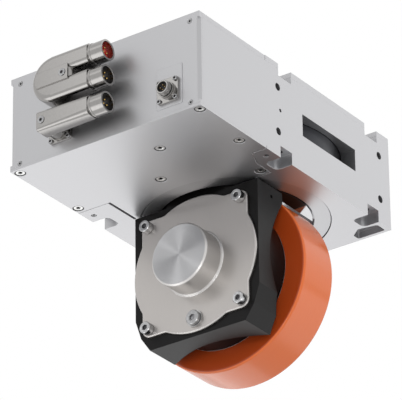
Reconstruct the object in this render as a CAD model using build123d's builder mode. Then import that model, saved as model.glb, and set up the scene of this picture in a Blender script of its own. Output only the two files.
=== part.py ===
from build123d import *
from math import atan, cos, hypot, pi, radians, sin, sqrt, tan
import os

os.makedirs("parts", exist_ok=True)

# Steered drive wheel unit for a driverless vehicle, in millimetres.
# Origin: on the upright steering axis, in the plane of the four bolt seats. +Z is up, the front
# panel with its connectors looks towards -Y, and the wheel hangs below the housing.
# Heights written as level(h) are measured from the underside of the housing.

# Housing
side_skin = 7.2
rear_skin = 1.1
front_room = 50
seat_height = 95
panel_thickness = 5
top_joint = 103
front_cover_thickness = 5
rear_plate_thickness = 6
cover_split = 115.5
floor_thickness = 10
side_wall = 20
corner_chamfer = 3
corner_cap = 6.5
joint_gap = 0.6
motor_room_back = 120
relief_insets = ((5, 18.9), (5, 3.9), (39, 3.9), (39, 12.9), (27, 22.9))
relief_round = 2.5
relief_depth = 8

# Mounting to the vehicle
bolt_inset = 10
bolt_spacing_y = 160
bolt_hole = 9
pocket_depth = 13.5
pocket_width = 20.6
pocket_reach = 20
pocket_fillet = 6
notch_width = 23
side_hole_spacing_y = 188
side_hole_spacing_z = 52
side_hole_height = 55
side_hole_offset = 1
side_hole = 8.5
side_hole_depth = 18
pin_hole = 4
pin_hole_y = -89

# Side windows
window_length = 97.7
window_low = 42.7
window_high = 68.4

# Bottom cover
bottom_cover_thickness = 3.2
tongue_left = 78.5
tongue_right = 93
tongue_rear = 70
tongue_slot = 3

# Screw lugs in front of the near bolt pockets
lug_inset = 10.2
lug_y = -102
lug_half_width = 7.8
lug_screw_radius = 2.75
lug_shank_radius = 1.5
lug_screw_depth = 12
lug_screw_head = 3
lug_socket = 2.5
lug_seat_depth = 3.5

# Turntable, bearing and steering ring
turntable_step = 2.3
well_wall = 9.5
bore_gap = 0.8
plate_low = 1
bearing_low = 10
bearing_height = 14
outer_race_step = 1.2
outer_race_wall = 9
race_gap = 2.5
inner_race_wall = 7.5
roller_radius = 3.5
roller_length = 6.8
roller_count = 24
roller_play = 0.35
roof_low = 27
roof_high = 37
roof_radius = 98
drum_clearance = 3.8
drum_wall = 16.2
drum_high = 69.5
drum_gap = 0.6
drum_flange_bore = 84
drum_flange = 7
ring_bolt_reach = 90
ring_bolt_count = 6
ring_bolt_grip = 7

# Steering gears
gear_module = 2.5
ring_teeth = 84
pinion_teeth = 36
steering_gear_low = 70
steering_gear_high = 82
flank_play = 0.3
gear_room = 2

# Motors
motor_spread = 54
motor_radius = 34
motor_high = 66
motor_gap = 1.5
motor_edge = 1.5
motor_groove_drop = 22
motor_groove = 2
motor_lip = 6
motor_shaft_radius = 8
motor_bore_depth = 10
end_gap = 0.5
shaft_stub = 2

# Control board
board_reach = 86
board_front_gap = 5.5
board_back_gap = 8.5
board_rise = 5
board_thickness = 1.6
chip_length = 24
chip_inset = 8
chip_height = 4
chip_x = (-50, -10, 30)
standoff_inset_x = 8
standoff_inset_y = 4
standoff_radius = 3.5

# Drive train to the wheel
drive_teeth = 80
drive_gear_low = 85
drive_gear_high = 95
drive_rim_bore = 88
drive_hub_radius = 24
drive_recess = 3
drive_hole_reach = 56
drive_hole_radius = 16
drive_hole_count = 6
open_mesh_gap = 0.4
sun_module = 1.5
sun_teeth = 44
planet_teeth = 24
sun_gear_low = 40
sun_gear_high = 52
bevel_module = 1.5
bevel_pinion_teeth = 24
bevel_gear_teeth = 48
bevel_face = 13
bevel_rim = 4
bevel_backing = 2.5
bevel_hub_wall = 5
shaft_radius = 10
shaft_shoulder = 3.5
shaft_room = 2
small_bearing_radius = 18.5
small_bearing_width = 9
small_bearing_wall = 3
top_bearing_wall = 7
top_bearing_rise = 1.5
fit = 0.05

# Wheel and axle
axle_drop = 79
wheel_radius = 100
wheel_offset = 4.5
tyre_width = 52
rim_radius = 76
rim_wall = 12
rim_web = 10
web_front = 5
rim_chamfer = 1
spigot_gap = 1
tread_round = 3
axle_nose_radius = 12.5
axle_radius = 15
axle_flange_radius = 34
axle_flange_width = 8
axle_spigot_radius = 20
wheel_bolt_reach = 27
wheel_bolt_count = 6

# Gearbox
gearbox_front = 72.5
gearbox_back = 27.5
gearbox_top_drop = 2.5
gearbox_corners = ((78, -43), (71, -64.5), (60, -80.5))
gearbox_bolt_grip = 20
lower_bearing_rise = 47
lower_seat_height = 15.5
hub_radius = 76
hub_back = 23.5
cone_start = 53
cavity_radius = 58
cavity_back = 30
neck_gap = 2
neck_half_width = 58
neck_front = 71.5
neck_back = 28
neck_rim = 5
neck_rim_back = 14.5
wheel_slot_play = 4
side_plate_rise = 4
side_plate_web = 3
side_plate_gap = 0.5
jig_hole_radius = 2
jig_hole_depth = 8
jig_hole_y = -47.5
jig_hole_drop = 14
seat_neck_radius = 38
seat_neck_back = 6
bearing_lip = 3
rear_bearing_radius = 31
rear_bearing_width = 16
rear_bearing_front = 27
front_bearing_radius = 26
front_bearing_width = 15
front_bearing_front = 96.5
seal_width = 5

# Gearbox cover
cover_plate = 3.5
cover_chamfer = 0.8
cover_radius = 77
ear_half_width = 67
ear_round = 9.5
ear_fillet = 8
boss_radius = 34.8
boss_front = 103.5
boss_chamfer = 1.6
boss_root_step = 1.6
boss_root_height = 1.4
boss_root_chamfer = 0.7
cover_bolt_spacing = 117
cover_bolt_grip = 18
front_bearing_cap = 1
plug_drop = 63
plug_hole_radius = 6
plug_radius = 5.8
plug_head_radius = 8
plug_head = 4.5
plug_socket = 7
plug_grip = 6.5
washer_radius = 9.5
washer_thickness = 1.5

# Connectors on the front panel
connector_heights = (87, 58, 27)
connector_centre = -54
connector_barrel_radius = 11.4
connector_axis_reach = 20.5
connector_tip = 20.5
connector_low = 11
connector_face = 31
connector_bar = 22.4
bar_end = 1.5
bar_round = 5.8
twin_left = -70.5
twin_round = 6.5
twin_web_end = -22
twin_web_height = 17
twin_web_rise = 1.5
twin_bar_start = -45
twin_screw_x = -29
single_left = -62.5
single_round = 3.2
single_screw_x = -56.5
neck_overlap = 3
connector_wall = 2
connector_bore = 20
connector_groove = 1.6
connector_groove_depth = 1.2
insert_length = 12
pin_radius = 1
pin_length = 3.5
pin_reach = 5.2
pin_count = 5
flange_width = 28
flange_height = 27
flange_thickness = 3
flange_round = 3
flange_screw_x = 11
flange_screw_z = 10.5
flange_screw_head_radius = 2.6
flange_screw_head = 2
flange_screw_radius = 1.5
face_screw_head_radius = 3.6
face_screw_head = 1
cable_hole_radius = 9
round_connector_x = 81.8
round_connector_height = 27.4
round_connector_reach = 12.5
round_flange_width = 26
round_flange_screw_x = 10
round_base_radius = 9
round_base_height = 6
round_barrel_radius = 7.2
round_bore_radius = 5.8
round_bore_depth = 8.5
round_insert_length = 3.5
round_pin_radius = 0.7
round_pin_reach = 2.8
round_pin_count = 4
round_cable_hole_radius = 8

# Screws
m8_radius = 4
m8_head_radius = 6.5
m8_head = 8
m8_socket = 6
m6_radius = 3
m6_head_radius = 6
hole_play = 0.3
thread_play = 0.1
head_sink = 0.2
panel_screw_radius = 1.6
panel_screw_head = 2.9
top_screw_radius = 2.5
top_screw_head = 4.8
ring_bolt_head_radius = 5
panel_screw_inset = 12
cover_screw_inset = 6.5
top_screw_inset = 10
plate_screw_inset = 9
panel_screw_heights = (6.5, 99.8)
panel_screw_grip = 9
bottom_screw_grip = 9.5
top_screw_grip = 13
hole_spare = 1
m6_socket = 5
m6_head = 6
flush_m6_socket = 4
top_socket = 3
panel_socket = 2

# Values worked out from the sizes above
steer_centre = gear_module * (ring_teeth + pinion_teeth) / 2
motor_y = -sqrt(steer_centre**2 - motor_spread**2)
motor_front = -motor_y + motor_radius + motor_gap
drum_radius = steer_centre - motor_radius - drum_clearance
cavity_clear = drum_radius + drum_gap
drum_bore = drum_radius - drum_wall
half_width = cavity_clear + side_skin
rear_reach = cavity_clear + rear_skin
front_reach = motor_front + front_room + panel_thickness
floor_z = -seat_height
front_y = -front_reach
panel_back = front_y + panel_thickness
outer_race_radius = drum_radius - outer_race_step
outer_race_bore = outer_race_radius - outer_race_wall
inner_race_radius = outer_race_bore - race_gap
inner_race_bore = inner_race_radius - inner_race_wall
turntable_radius = outer_race_bore - turntable_step
opening_radius = inner_race_bore - well_wall
neck_radius = opening_radius - neck_gap
wheel_slot = sqrt(wheel_radius**2 - (axle_drop + plate_low) ** 2) + wheel_slot_play
bolt_spacing_x = 2 * (half_width - bolt_inset)
lug_x = half_width - lug_inset
board_front = -panel_back - board_front_gap
board_back = motor_front + board_back_gap
board_middle = -(board_front + board_back) / 2
planet_centre = sun_module * (sun_teeth + planet_teeth) / 2
axle_z = floor_z - axle_drop
bevel_pinion_pitch = bevel_module * bevel_pinion_teeth / 2
bevel_gear_pitch = bevel_module * bevel_gear_teeth / 2
cone_length = hypot(bevel_pinion_pitch, bevel_gear_pitch)
bevel_small = 1 - bevel_face / cone_length
roller_reach = (inner_race_radius + outer_race_bore) / 2
race_middle = bearing_low + bearing_height / 2
groove_reach = sqrt(2) * (roller_radius + roller_play)
tyre_front = wheel_offset - tyre_width / 2
tyre_back = wheel_offset + tyre_width / 2
front_height = top_joint + front_cover_thickness
twin_half = (connector_heights[0] - connector_heights[1] + connector_bar) / 2
upper_bearing_low = drive_gear_high + top_bearing_rise
outer_apex = roller_reach + groove_reach
inner_apex = roller_reach - groove_reach
drive_tip = steer_centre - gear_module * (pinion_teeth / 2 + 1) - open_mesh_gap
top_over_axle = axle_drop - gearbox_top_drop
lower_bearing_top = axle_z + lower_bearing_rise + small_bearing_width
gear_back = -planet_centre - bevel_pinion_pitch
ring_bolt_seat = roof_high + drum_flange
towards_pinion = pi + atan(motor_y / -motor_spread)


def level(height):
    """Z of a height above the underside of the housing."""
    return floor_z + height


def around(x, y, reach_x, reach_y):
    """Four places in a rectangle around a middle."""
    return [(x + i * reach_x, y + k * reach_y) for i in (-1, 1) for k in (-1, 1)]


def on_circle(radius, count):
    """Places spaced evenly on a circle."""
    return [(radius * cos(2 * pi * k / count), radius * sin(2 * pi * k / count)) for k in range(count)]


def patch(x0, y0, x1, y1, mode=Mode.ADD):
    """Rectangle between two corners, in the sketch that is open."""
    with Locations(((x0 + x1) / 2, (y0 + y1) / 2)):
        Rectangle(abs(x1 - x0), abs(y1 - y0), mode=mode)


def across(distance):
    """Plane that faces the front, the given distance in front of the steering axis."""
    return Plane.XZ.offset(distance)


def wheel_plane(y):
    """Plane that faces the front at y, centred on the wheel axis, with +Z as its own y."""
    return Plane(origin=(0, y, axle_z), x_dir=(1, 0, 0), z_dir=(0, -1, 0))


def tooth_points(teeth, pitch, tip, root, play, turn=0, lean=20):
    """Corners of a gear with straight flanks that lean by the pressure angle at the pitch circle."""
    half = pi / (2 * teeth) - play / pitch
    slope = tan(radians(lean))
    at_tip = half - (tip - pitch) * slope / tip
    at_root = half + (pitch - root) * slope / root
    points = []
    for k in range(teeth):
        middle = turn + 2 * pi * k / teeth
        corners = ((root, -at_root), (tip, -at_tip), (tip, at_tip), (root, at_root))
        for radius, angle in corners:
            points.append((radius * cos(middle + angle), radius * sin(middle + angle)))
    return points


def spur_points(module, teeth, turn=0, tip=None):
    """Corners of a spur gear of the given module."""
    pitch = module * teeth / 2
    root = pitch - 1.25 * module
    return tooth_points(teeth, pitch, tip or pitch + module, root, flank_play, turn)


def bevel_points(teeth, pitch, height, turn):
    """Corners of a bevel gear's large end, in the plane at the given height from the apex."""
    cone = atan(pitch / height)
    tip = height * tan(cone + atan(bevel_module / cone_length))
    root = height * tan(cone - atan(1.25 * bevel_module / cone_length))
    return tooth_points(teeth, pitch, tip, root, flank_play, turn, lean=20 * cos(cone))


def scaled(points, factor):
    """The same corners, nearer to the centre."""
    return [(x * factor, y * factor) for x, y in points]


def ring(plane, radius, bore, height):
    """Plain ring on the plane, added to the part that is open."""
    with BuildSketch(plane) as profile:
        Circle(radius)
        Circle(bore, mode=Mode.SUBTRACT)
    extrude(profile.sketch, amount=height)


def discs(plane, places, radius, height, mode=Mode.ADD):
    """Round posts on the plane, or with Mode.SUBTRACT round holes, in the part that is open."""
    with BuildSketch(plane) as profile:
        with Locations(*places):
            Circle(radius)
    extrude(profile.sketch, amount=height, mode=mode)


def bores(plane, places, radius, depth):
    """Round holes into the plane, cut from the part that is open."""
    discs(plane, places, radius, -depth, Mode.SUBTRACT)


def cones(plane, places, wide, narrow, depth, mode=Mode.ADD):
    """Cones that narrow from the plane down, in the part that is open."""
    for place in places:
        with BuildSketch(plane) as mouth:
            with Locations(place):
                Circle(wide)
        with BuildSketch(plane.offset(-depth)) as throat:
            with Locations(place):
                Circle(narrow)
        loft([mouth.sketch, throat.sketch], mode=mode)


def sockets(plane, places, size, depth):
    """Hexagon sockets into the plane, cut from the part that is open."""
    with BuildSketch(plane) as profile:
        with Locations(*places):
            RegularPolygon(size / 2, 6, major_radius=False)
    extrude(profile.sketch, amount=-depth, mode=Mode.SUBTRACT)


def socket_screws(plane, places, radius, head_radius, head, length, socket):
    """Cap screws with hexagon sockets: heads stand on the plane, shanks go into it."""
    discs(plane, places, head_radius, head)
    discs(plane, places, radius, -length)
    sockets(plane.offset(head), places, socket, head * 0.6)


def flush_screws(plane, places, radius, head_radius, length, socket):
    """Countersunk screws whose heads end just under the plane."""
    head = head_radius - radius
    face = plane.offset(-head_sink)
    cones(face, places, head_radius, radius, head)
    discs(face.offset(-head), places, radius, -length + head)
    sockets(face, places, socket, head * 0.7)


def sinks(plane, places, radius, head_radius, thickness):
    """Cone seats and through holes for flush screws, cut from the part that is open."""
    cones(plane, places, head_radius + hole_play, radius + hole_play, head_radius - radius, Mode.SUBTRACT)
    bores(plane, places, radius + hole_play, thickness)


def cover_outline(gap, slot):
    """Bottom cover seen from below the housing, grown by a gap, with the slot left of its tongue."""
    patch(-half_width, front_y, half_width, -cover_split + gap)
    patch(-tongue_left - slot, -cover_split, tongue_right + gap, -tongue_rear + gap)
    corner = lug_x - lug_half_width
    Polygon(
        (corner + gap, -cover_split),
        (tongue_right + gap, lug_y + lug_half_width),
        (tongue_right - 1, -cover_split),
        align=None,
    )
    Circle(turntable_radius + bore_gap + joint_gap - gap, mode=Mode.SUBTRACT)


def barrel_plane(x, height):
    """Plane that faces right at x, centred on the axis of the connector barrel at this height."""
    return Plane(origin=(x, front_y - connector_axis_reach, level(height)), x_dir=(0, 1, 0), z_dir=(1, 0, 0))


def barrel_with_bar(start, start_round, height):
    """Bar with rounded edges from start on, and the round barrel that it ends in, with its bore."""
    depth = connector_face - connector_low
    shift = connector_axis_reach - (connector_face + connector_low) / 2
    sections = []
    for x, edge in ((start, start_round), (bar_end, bar_round)):
        with BuildSketch(barrel_plane(x, height)) as section:
            with Locations((shift, 0)):
                RectangleRounded(depth, connector_bar, edge)
        sections.append(section.sketch)
    loft(sections)
    discs(barrel_plane(bar_end, height), [(0, 0)], connector_barrel_radius, connector_tip - bar_end)
    with BuildSketch(barrel_plane(bar_end, height)) as groove:
        Circle(connector_barrel_radius)
        Circle(connector_barrel_radius - connector_groove_depth, mode=Mode.SUBTRACT)
    extrude(groove.sketch, amount=connector_groove, mode=Mode.SUBTRACT)
    bores(
        barrel_plane(connector_tip, height),
        [(0, 0)],
        connector_barrel_radius - connector_wall,
        connector_bore,
    )


def screw_holes(place, reach_x):
    """Four holes for the flange screws around a connector, cut from the part that is open."""
    bores(
        across(front_reach + flange_thickness),
        around(*place, reach_x, flange_screw_z),
        flange_screw_radius + hole_play,
        flange_thickness,
    )


bolt_places = around(0, 0, bolt_spacing_x / 2, bolt_spacing_y / 2)
motor_places = [(-motor_spread, motor_y), (motor_spread, motor_y)]
lug_places = [(-lug_x, lug_y), (lug_x, lug_y)]
side_holes = around(
    side_hole_offset,
    level(side_hole_height),
    side_hole_spacing_y / 2,
    side_hole_spacing_z / 2,
)
panel_screws_at = [
    (x * (half_width - panel_screw_inset), level(h)) for x in (-1, 1) for h in panel_screw_heights
]
bottom_screws_at = [
    (-half_width + cover_screw_inset, front_y + 8.3),
    (half_width - cover_screw_inset, front_y + 8.3),
    (-half_width + cover_screw_inset, -cover_split - 8.7),
    (32.9, front_y + 51.1),
    (-6.1, -cover_split - 9.3),
    (half_width - 13.2, -cover_split - 29.3),
    (tongue_right - 6.7, -tongue_rear - 8.4),
]
top_screws_y = (front_y + 22.5, -cover_split - 8.5)
top_screws_at = [
    (x * (half_width - top_screw_inset), y)
    for x in (-1, 1)
    for y in (top_screws_y[0], sum(top_screws_y) / 2, top_screws_y[1])
]
plate_screws_at = [
    (x * (half_width - plate_screw_inset), y)
    for x in (-1, 1)
    for y in (-cover_split + 11.5, -55, 55, rear_reach - 9.9)
]
gearbox_bolts_at = [(-30, -62), (30, -62), (-50, -38), (50, -38)]
cover_bolts_at = around(0, 0, cover_bolt_spacing / 2, cover_bolt_spacing / 2)
ring_bolts_at = on_circle(ring_bolt_reach, ring_bolt_count)
wheel_bolts_at = on_circle(wheel_bolt_reach, wheel_bolt_count)
board_places = around(
    0,
    board_middle,
    board_reach - standoff_inset_x,
    (board_front - board_back) / 2 - standoff_inset_y,
)
underside = Plane(origin=(0, 0, floor_z), x_dir=(1, 0, 0), z_dir=(0, 0, -1))
bottom_screws_flipped = [(x, -y) for x, y in bottom_screws_at]
lug_flipped = [(x, -y) for x, y in lug_places]
shaft_place = (0, -planet_centre)
twin_place = (connector_centre, level((connector_heights[0] + connector_heights[1]) / 2))
single_place = (connector_centre, level(connector_heights[2]))
round_place = (round_connector_x, level(round_connector_height))
flange_screws_at = around(*round_place, round_flange_screw_x, flange_screw_z)
for place in (twin_place, single_place):
    flange_screws_at += around(*place, flange_screw_x, flange_screw_z)
plug_place = (0, -plug_drop)
jig_place = (jig_hole_y, level(-jig_hole_drop))
wheel_axis = Axis((0, 0, axle_z), (0, 1, 0))

# Main housing: one milled block with room for the motors in front and a round well behind
with BuildPart() as main_housing:
    with BuildSketch(Plane.XY.offset(level(0))):
        patch(-half_width, panel_back, half_width, rear_reach)
    extrude(amount=top_joint)
    # Recess for the bottom cover
    with BuildSketch(Plane.XY.offset(level(0))):
        cover_outline(joint_gap, tongue_slot)
    extrude(amount=bottom_cover_thickness, mode=Mode.SUBTRACT)
    # Motor room, open to the front and the top
    with BuildSketch(Plane.XY.offset(level(floor_thickness))):
        patch(-half_width + side_wall, panel_back, half_width - side_wall, -motor_room_back)
        with Locations(*motor_places):
            Circle(motor_radius + motor_gap)
    extrude(amount=top_joint, mode=Mode.SUBTRACT)
    # Room above the turntable bearing, where the gears mesh
    with BuildSketch(Plane.XY.offset(level(bearing_low + bearing_height))):
        Circle(cavity_clear)
    extrude(amount=top_joint, mode=Mode.SUBTRACT)
    with BuildSketch(Plane.XY.offset(level(roof_low))):
        patch(-half_width + side_wall, -motor_room_back, half_width - side_wall, -roof_radius)
    extrude(amount=top_joint, mode=Mode.SUBTRACT)
    with BuildSketch(Plane.XY.offset(level(steering_gear_low - gear_room))):
        with Locations(*motor_places):
            Circle(gear_module * (pinion_teeth / 2 + 1) + gear_room)
    extrude(amount=top_joint, mode=Mode.SUBTRACT)
    # Bearing seat and turntable bore
    bores(Plane.XY.offset(level(bearing_low + bearing_height)), [(0, 0)], outer_race_radius, bearing_height)
    bores(Plane.XY.offset(level(bearing_low)), [(0, 0)], turntable_radius + bore_gap, bearing_low)
    # Side windows
    with BuildSketch(Plane.YZ.offset(-half_width)):
        patch(-window_length / 2, level(window_low), window_length / 2, level(window_high))
    extrude(amount=2 * half_width, mode=Mode.SUBTRACT)
    # Bolt holes, the pockets under them and the seats above them
    bores(Plane.XY.offset(level(top_joint)), bolt_places, bolt_hole / 2, top_joint)
    for x, y in bolt_places:
        side = 1 if x > 0 else -1
        inner = side * (half_width - pocket_reach)
        with BuildSketch(Plane.XY.offset(level(0))):
            patch(inner, y - pocket_width / 2, side * (half_width + pocket_fillet), y + pocket_width / 2)
            fillet(vertices().group_by(Axis.X)[0 if side > 0 else -1], pocket_fillet)
        extrude(amount=pocket_depth, mode=Mode.SUBTRACT)
        with BuildSketch(Plane.XY.offset(level(seat_height))):
            patch(inner, y - notch_width / 2, side * (half_width + pocket_fillet), y + notch_width / 2)
            fillet(vertices().group_by(Axis.X)[0 if side > 0 else -1], pocket_fillet)
        extrude(amount=top_joint, mode=Mode.SUBTRACT)
    # Threaded holes for mounting the unit by its sides, and a pin hole beside them
    for side in (-1, 1):
        wall = Plane(origin=(side * half_width, 0, 0), x_dir=(0, side, 0), z_dir=(side, 0, 0))
        bores(wall, [(side * y, z) for y, z in side_holes], side_hole / 2, side_hole_depth)
        bores(wall, [(side * pin_hole_y, level(side_hole_height))], pin_hole / 2, side_hole_depth / 2)
    # Holes under the motors, behind the bottom cover
    bores(Plane.XY.offset(level(floor_thickness)), motor_places, motor_radius - motor_lip, floor_thickness)
    # Weight-saving recesses in the rear corners of the underside
    for side in (-1, 1):
        with BuildSketch(Plane.XY.offset(level(0))):
            corners = [(side * (half_width - x), rear_reach - y) for x, y in relief_insets]
            Polygon(*corners, align=None)
            fillet(vertices(), relief_round)
        extrude(amount=relief_depth, mode=Mode.SUBTRACT)
    # Screw holes
    bores(underside, bottom_screws_flipped, m6_radius + thread_play, bottom_screw_grip + hole_spare)
    bores(underside, lug_flipped, lug_screw_radius + hole_play, lug_seat_depth)
    lug_hole_depth = lug_seat_depth + lug_screw_depth + hole_spare
    bores(underside, lug_flipped, lug_shank_radius + thread_play, lug_hole_depth)
    for places in (top_screws_at, plate_screws_at):
        bores(
            Plane.XY.offset(level(top_joint)),
            places,
            top_screw_radius + thread_play,
            top_screw_grip + hole_spare,
        )
    bores(
        across(-panel_back),
        panel_screws_at,
        panel_screw_radius + thread_play,
        panel_screw_grip + hole_spare,
    )
main_housing.part.label = "main_housing"
export_step(main_housing.part, "parts/main_housing.step")

# Front panel with the four connector cut-outs
with BuildPart() as front_panel:
    with BuildSketch(across(-panel_back)):
        patch(-half_width, level(bottom_cover_thickness), half_width, level(front_height))
    extrude(amount=panel_thickness)
    with BuildSketch(Plane.XY.offset(level(corner_cap))):
        for side in (-1, 1):
            Polygon(
                (side * half_width, front_y),
                (side * (half_width - corner_chamfer), front_y),
                (side * half_width, front_y + corner_chamfer),
                align=None,
            )
    extrude(amount=front_height - 2 * corner_cap, mode=Mode.SUBTRACT)
    bores(
        across(front_reach),
        [twin_place, single_place],
        cable_hole_radius,
        panel_thickness,
    )
    bores(across(front_reach), [round_place], round_cable_hole_radius, panel_thickness)
    sinks(across(front_reach), panel_screws_at, panel_screw_radius, panel_screw_head, panel_thickness)
front_panel.part.label = "front_panel"
export_step(front_panel.part, "parts/front_panel.step")

with BuildPart() as panel_screws:
    flush_screws(
        across(front_reach),
        panel_screws_at,
        panel_screw_radius,
        panel_screw_head,
        panel_thickness + panel_screw_grip,
        panel_socket,
    )
panel_screws.part.label = "panel_screws"
export_step(panel_screws.part, "parts/panel_screws.step")

# Bottom cover, let into the underside, with a tongue that runs back to the turntable
with BuildPart() as bottom_cover:
    with BuildSketch(Plane.XY.offset(level(0))):
        cover_outline(0, 0)
    extrude(amount=bottom_cover_thickness)
    sinks(underside, bottom_screws_flipped, m6_radius, m6_head_radius, bottom_cover_thickness)
bottom_cover.part.label = "bottom_cover"
export_step(bottom_cover.part, "parts/bottom_cover.step")

with BuildPart() as bottom_cover_screws:
    flush_screws(
        underside,
        bottom_screws_flipped,
        m6_radius,
        m6_head_radius,
        bottom_screw_grip,
        flush_m6_socket,
    )
bottom_cover_screws.part.label = "bottom_cover_screws"
export_step(bottom_cover_screws.part, "parts/bottom_cover_screws.step")

with BuildPart() as lug_screws:
    socket_screws(
        underside.offset(-lug_seat_depth),
        lug_flipped,
        lug_shank_radius,
        lug_screw_radius,
        lug_screw_head,
        lug_screw_depth,
        lug_socket,
    )
lug_screws.part.label = "lug_screws"
export_step(lug_screws.part, "parts/lug_screws.step")

# Covers on top: one over the motor room and one that carries the upper drive bearing
front_top = Plane.XY.offset(level(front_height))
with BuildPart() as front_top_cover:
    with BuildSketch(Plane.XY.offset(level(top_joint))):
        patch(-half_width, panel_back, half_width, -cover_split)
    extrude(amount=front_cover_thickness)
    sinks(front_top, top_screws_at, top_screw_radius, top_screw_head, front_cover_thickness)
front_top_cover.part.label = "front_top_cover"
export_step(front_top_cover.part, "parts/front_top_cover.step")

with BuildPart() as top_cover_screws:
    flush_screws(
        front_top,
        top_screws_at,
        top_screw_radius,
        top_screw_head,
        front_cover_thickness + top_screw_grip,
        top_socket,
    )
top_cover_screws.part.label = "top_cover_screws"
export_step(top_cover_screws.part, "parts/top_cover_screws.step")

rear_top = Plane.XY.offset(level(top_joint + rear_plate_thickness))
with BuildPart() as rear_top_plate:
    with BuildSketch(Plane.XY.offset(level(top_joint))):
        patch(-half_width, -cover_split + joint_gap, half_width, rear_reach)
    extrude(amount=rear_plate_thickness)
    for x, y in bolt_places:
        side = 1 if x > 0 else -1
        inner = side * (half_width - pocket_reach)
        with BuildSketch(Plane.XY.offset(level(top_joint))):
            patch(inner, y - notch_width / 2, side * (half_width + pocket_fillet), y + notch_width / 2)
            fillet(vertices().group_by(Axis.X)[0 if side > 0 else -1], pocket_fillet)
        extrude(amount=rear_plate_thickness, mode=Mode.SUBTRACT)
    with BuildSketch(Plane.XY.offset(level(upper_bearing_low))):
        Circle(small_bearing_radius + top_bearing_wall)
    extrude(amount=top_joint - upper_bearing_low)
    bores(
        Plane.XY.offset(level(upper_bearing_low + small_bearing_width)),
        [(0, 0)],
        small_bearing_radius,
        small_bearing_width,
    )
    sinks(rear_top, plate_screws_at, top_screw_radius, top_screw_head, rear_plate_thickness)
rear_top_plate.part.label = "rear_top_plate"
export_step(rear_top_plate.part, "parts/rear_top_plate.step")

with BuildPart() as rear_plate_screws:
    flush_screws(
        rear_top,
        plate_screws_at,
        top_screw_radius,
        top_screw_head,
        rear_plate_thickness + top_screw_grip,
        top_socket,
    )
rear_plate_screws.part.label = "rear_plate_screws"
export_step(rear_plate_screws.part, "parts/rear_plate_screws.step")

# Angled connectors: a flange on the panel, a neck, a head and barrels that point to the right
with BuildPart() as twin_connector:
    with BuildSketch(across(front_reach)):
        with Locations(twin_place):
            RectangleRounded(flange_width, flange_height, flange_round)
    extrude(amount=flange_thickness)
    discs(across(front_reach), [twin_place], connector_barrel_radius, connector_low + neck_overlap)
    with BuildSketch(across(front_reach + connector_low)):
        with Locations((twin_left + twin_half, twin_place[1])):
            Circle(twin_half)
        patch(twin_left + twin_half, twin_place[1] - twin_half, twin_web_end, twin_place[1] + twin_half)
    extrude(amount=connector_face - connector_low)
    fillet(faces().sort_by(Axis.Y)[0].edges(), twin_round)
    with BuildSketch(across(front_reach + connector_face)):
        with Locations((twin_left + twin_half, twin_place[1])):
            Circle(twin_half - twin_round)
        for edge, middle in ((-twin_half, -twin_web_height / 2), (twin_half, twin_web_height / 2)):
            patch(twin_left, twin_place[1] + edge, twin_web_end, twin_place[1] + middle, Mode.SUBTRACT)
        patch(
            twin_left + twin_half,
            twin_place[1] - twin_web_height / 2,
            twin_web_end,
            twin_place[1] + twin_web_height / 2,
        )
    extrude(amount=twin_web_rise)
    for height in connector_heights[:2]:
        barrel_with_bar(twin_bar_start, bar_round, height)
    screw_holes(twin_place, flange_screw_x)
twin_connector.part.label = "twin_connector"
export_step(twin_connector.part, "parts/twin_connector.step")

with BuildPart() as single_connector:
    with BuildSketch(across(front_reach)):
        with Locations(single_place):
            RectangleRounded(flange_width, flange_height, flange_round)
    extrude(amount=flange_thickness)
    discs(across(front_reach), [single_place], connector_barrel_radius, connector_low + neck_overlap)
    barrel_with_bar(single_left, single_round, connector_heights[2])
    screw_holes(single_place, flange_screw_x)
single_connector.part.label = "single_connector"
export_step(single_connector.part, "parts/single_connector.step")

for number, height in enumerate(connector_heights, start=1):
    with BuildPart() as insert:
        socket_floor = barrel_plane(connector_tip - connector_bore, height)
        discs(socket_floor, [(0, 0)], connector_barrel_radius - connector_wall, insert_length)
    insert.part.label = f"connector_insert_{number}"
    export_step(insert.part, f"parts/connector_insert_{number}.step")

with BuildPart() as connector_pins:
    for height in connector_heights:
        insert_face = barrel_plane(connector_tip - connector_bore + insert_length, height)
        discs(insert_face, [(0, 0)] + on_circle(pin_reach, pin_count), pin_radius, pin_length)
connector_pins.part.label = "connector_pins"
export_step(connector_pins.part, "parts/connector_pins.step")

# Round connector that points straight out of the panel
with BuildPart() as round_connector:
    with BuildSketch(across(front_reach)):
        with Locations(round_place):
            RectangleRounded(round_flange_width, flange_height, flange_round)
    extrude(amount=flange_thickness)
    discs(across(front_reach), [round_place], round_base_radius, round_base_height)
    discs(across(front_reach), [round_place], round_barrel_radius, round_connector_reach)
    bores(across(front_reach + round_connector_reach), [round_place], round_bore_radius, round_bore_depth)
    screw_holes(round_place, round_flange_screw_x)
round_connector.part.label = "round_connector"
export_step(round_connector.part, "parts/round_connector.step")

with BuildPart() as round_connector_insert:
    insert_root = front_reach + round_connector_reach - round_bore_depth
    discs(across(insert_root), [round_place], round_bore_radius, round_insert_length)
    round_pins_at = [
        (round_place[0] + x, round_place[1] + z) for x, z in on_circle(round_pin_reach, round_pin_count)
    ]
    discs(across(insert_root + round_insert_length), round_pins_at, round_pin_radius, pin_length)
round_connector_insert.part.label = "round_connector_insert"
export_step(round_connector_insert.part, "parts/round_connector_insert.step")

with BuildPart() as connector_screws:
    flange_face = across(front_reach + flange_thickness)
    discs(flange_face, flange_screws_at, flange_screw_head_radius, flange_screw_head)
    discs(flange_face, flange_screws_at, flange_screw_radius, -flange_thickness)
    for x, place, face in (
        (twin_screw_x, twin_place, connector_face + twin_web_rise),
        (single_screw_x, single_place, connector_face),
    ):
        head_top = across(front_reach + face + face_screw_head)
        discs(head_top, [(x, place[1])], face_screw_head_radius, -face_screw_head)
        sockets(head_top, [(x, place[1])], top_socket, face_screw_head / 2)
connector_screws.part.label = "connector_screws"
export_step(connector_screws.part, "parts/connector_screws.step")

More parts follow.
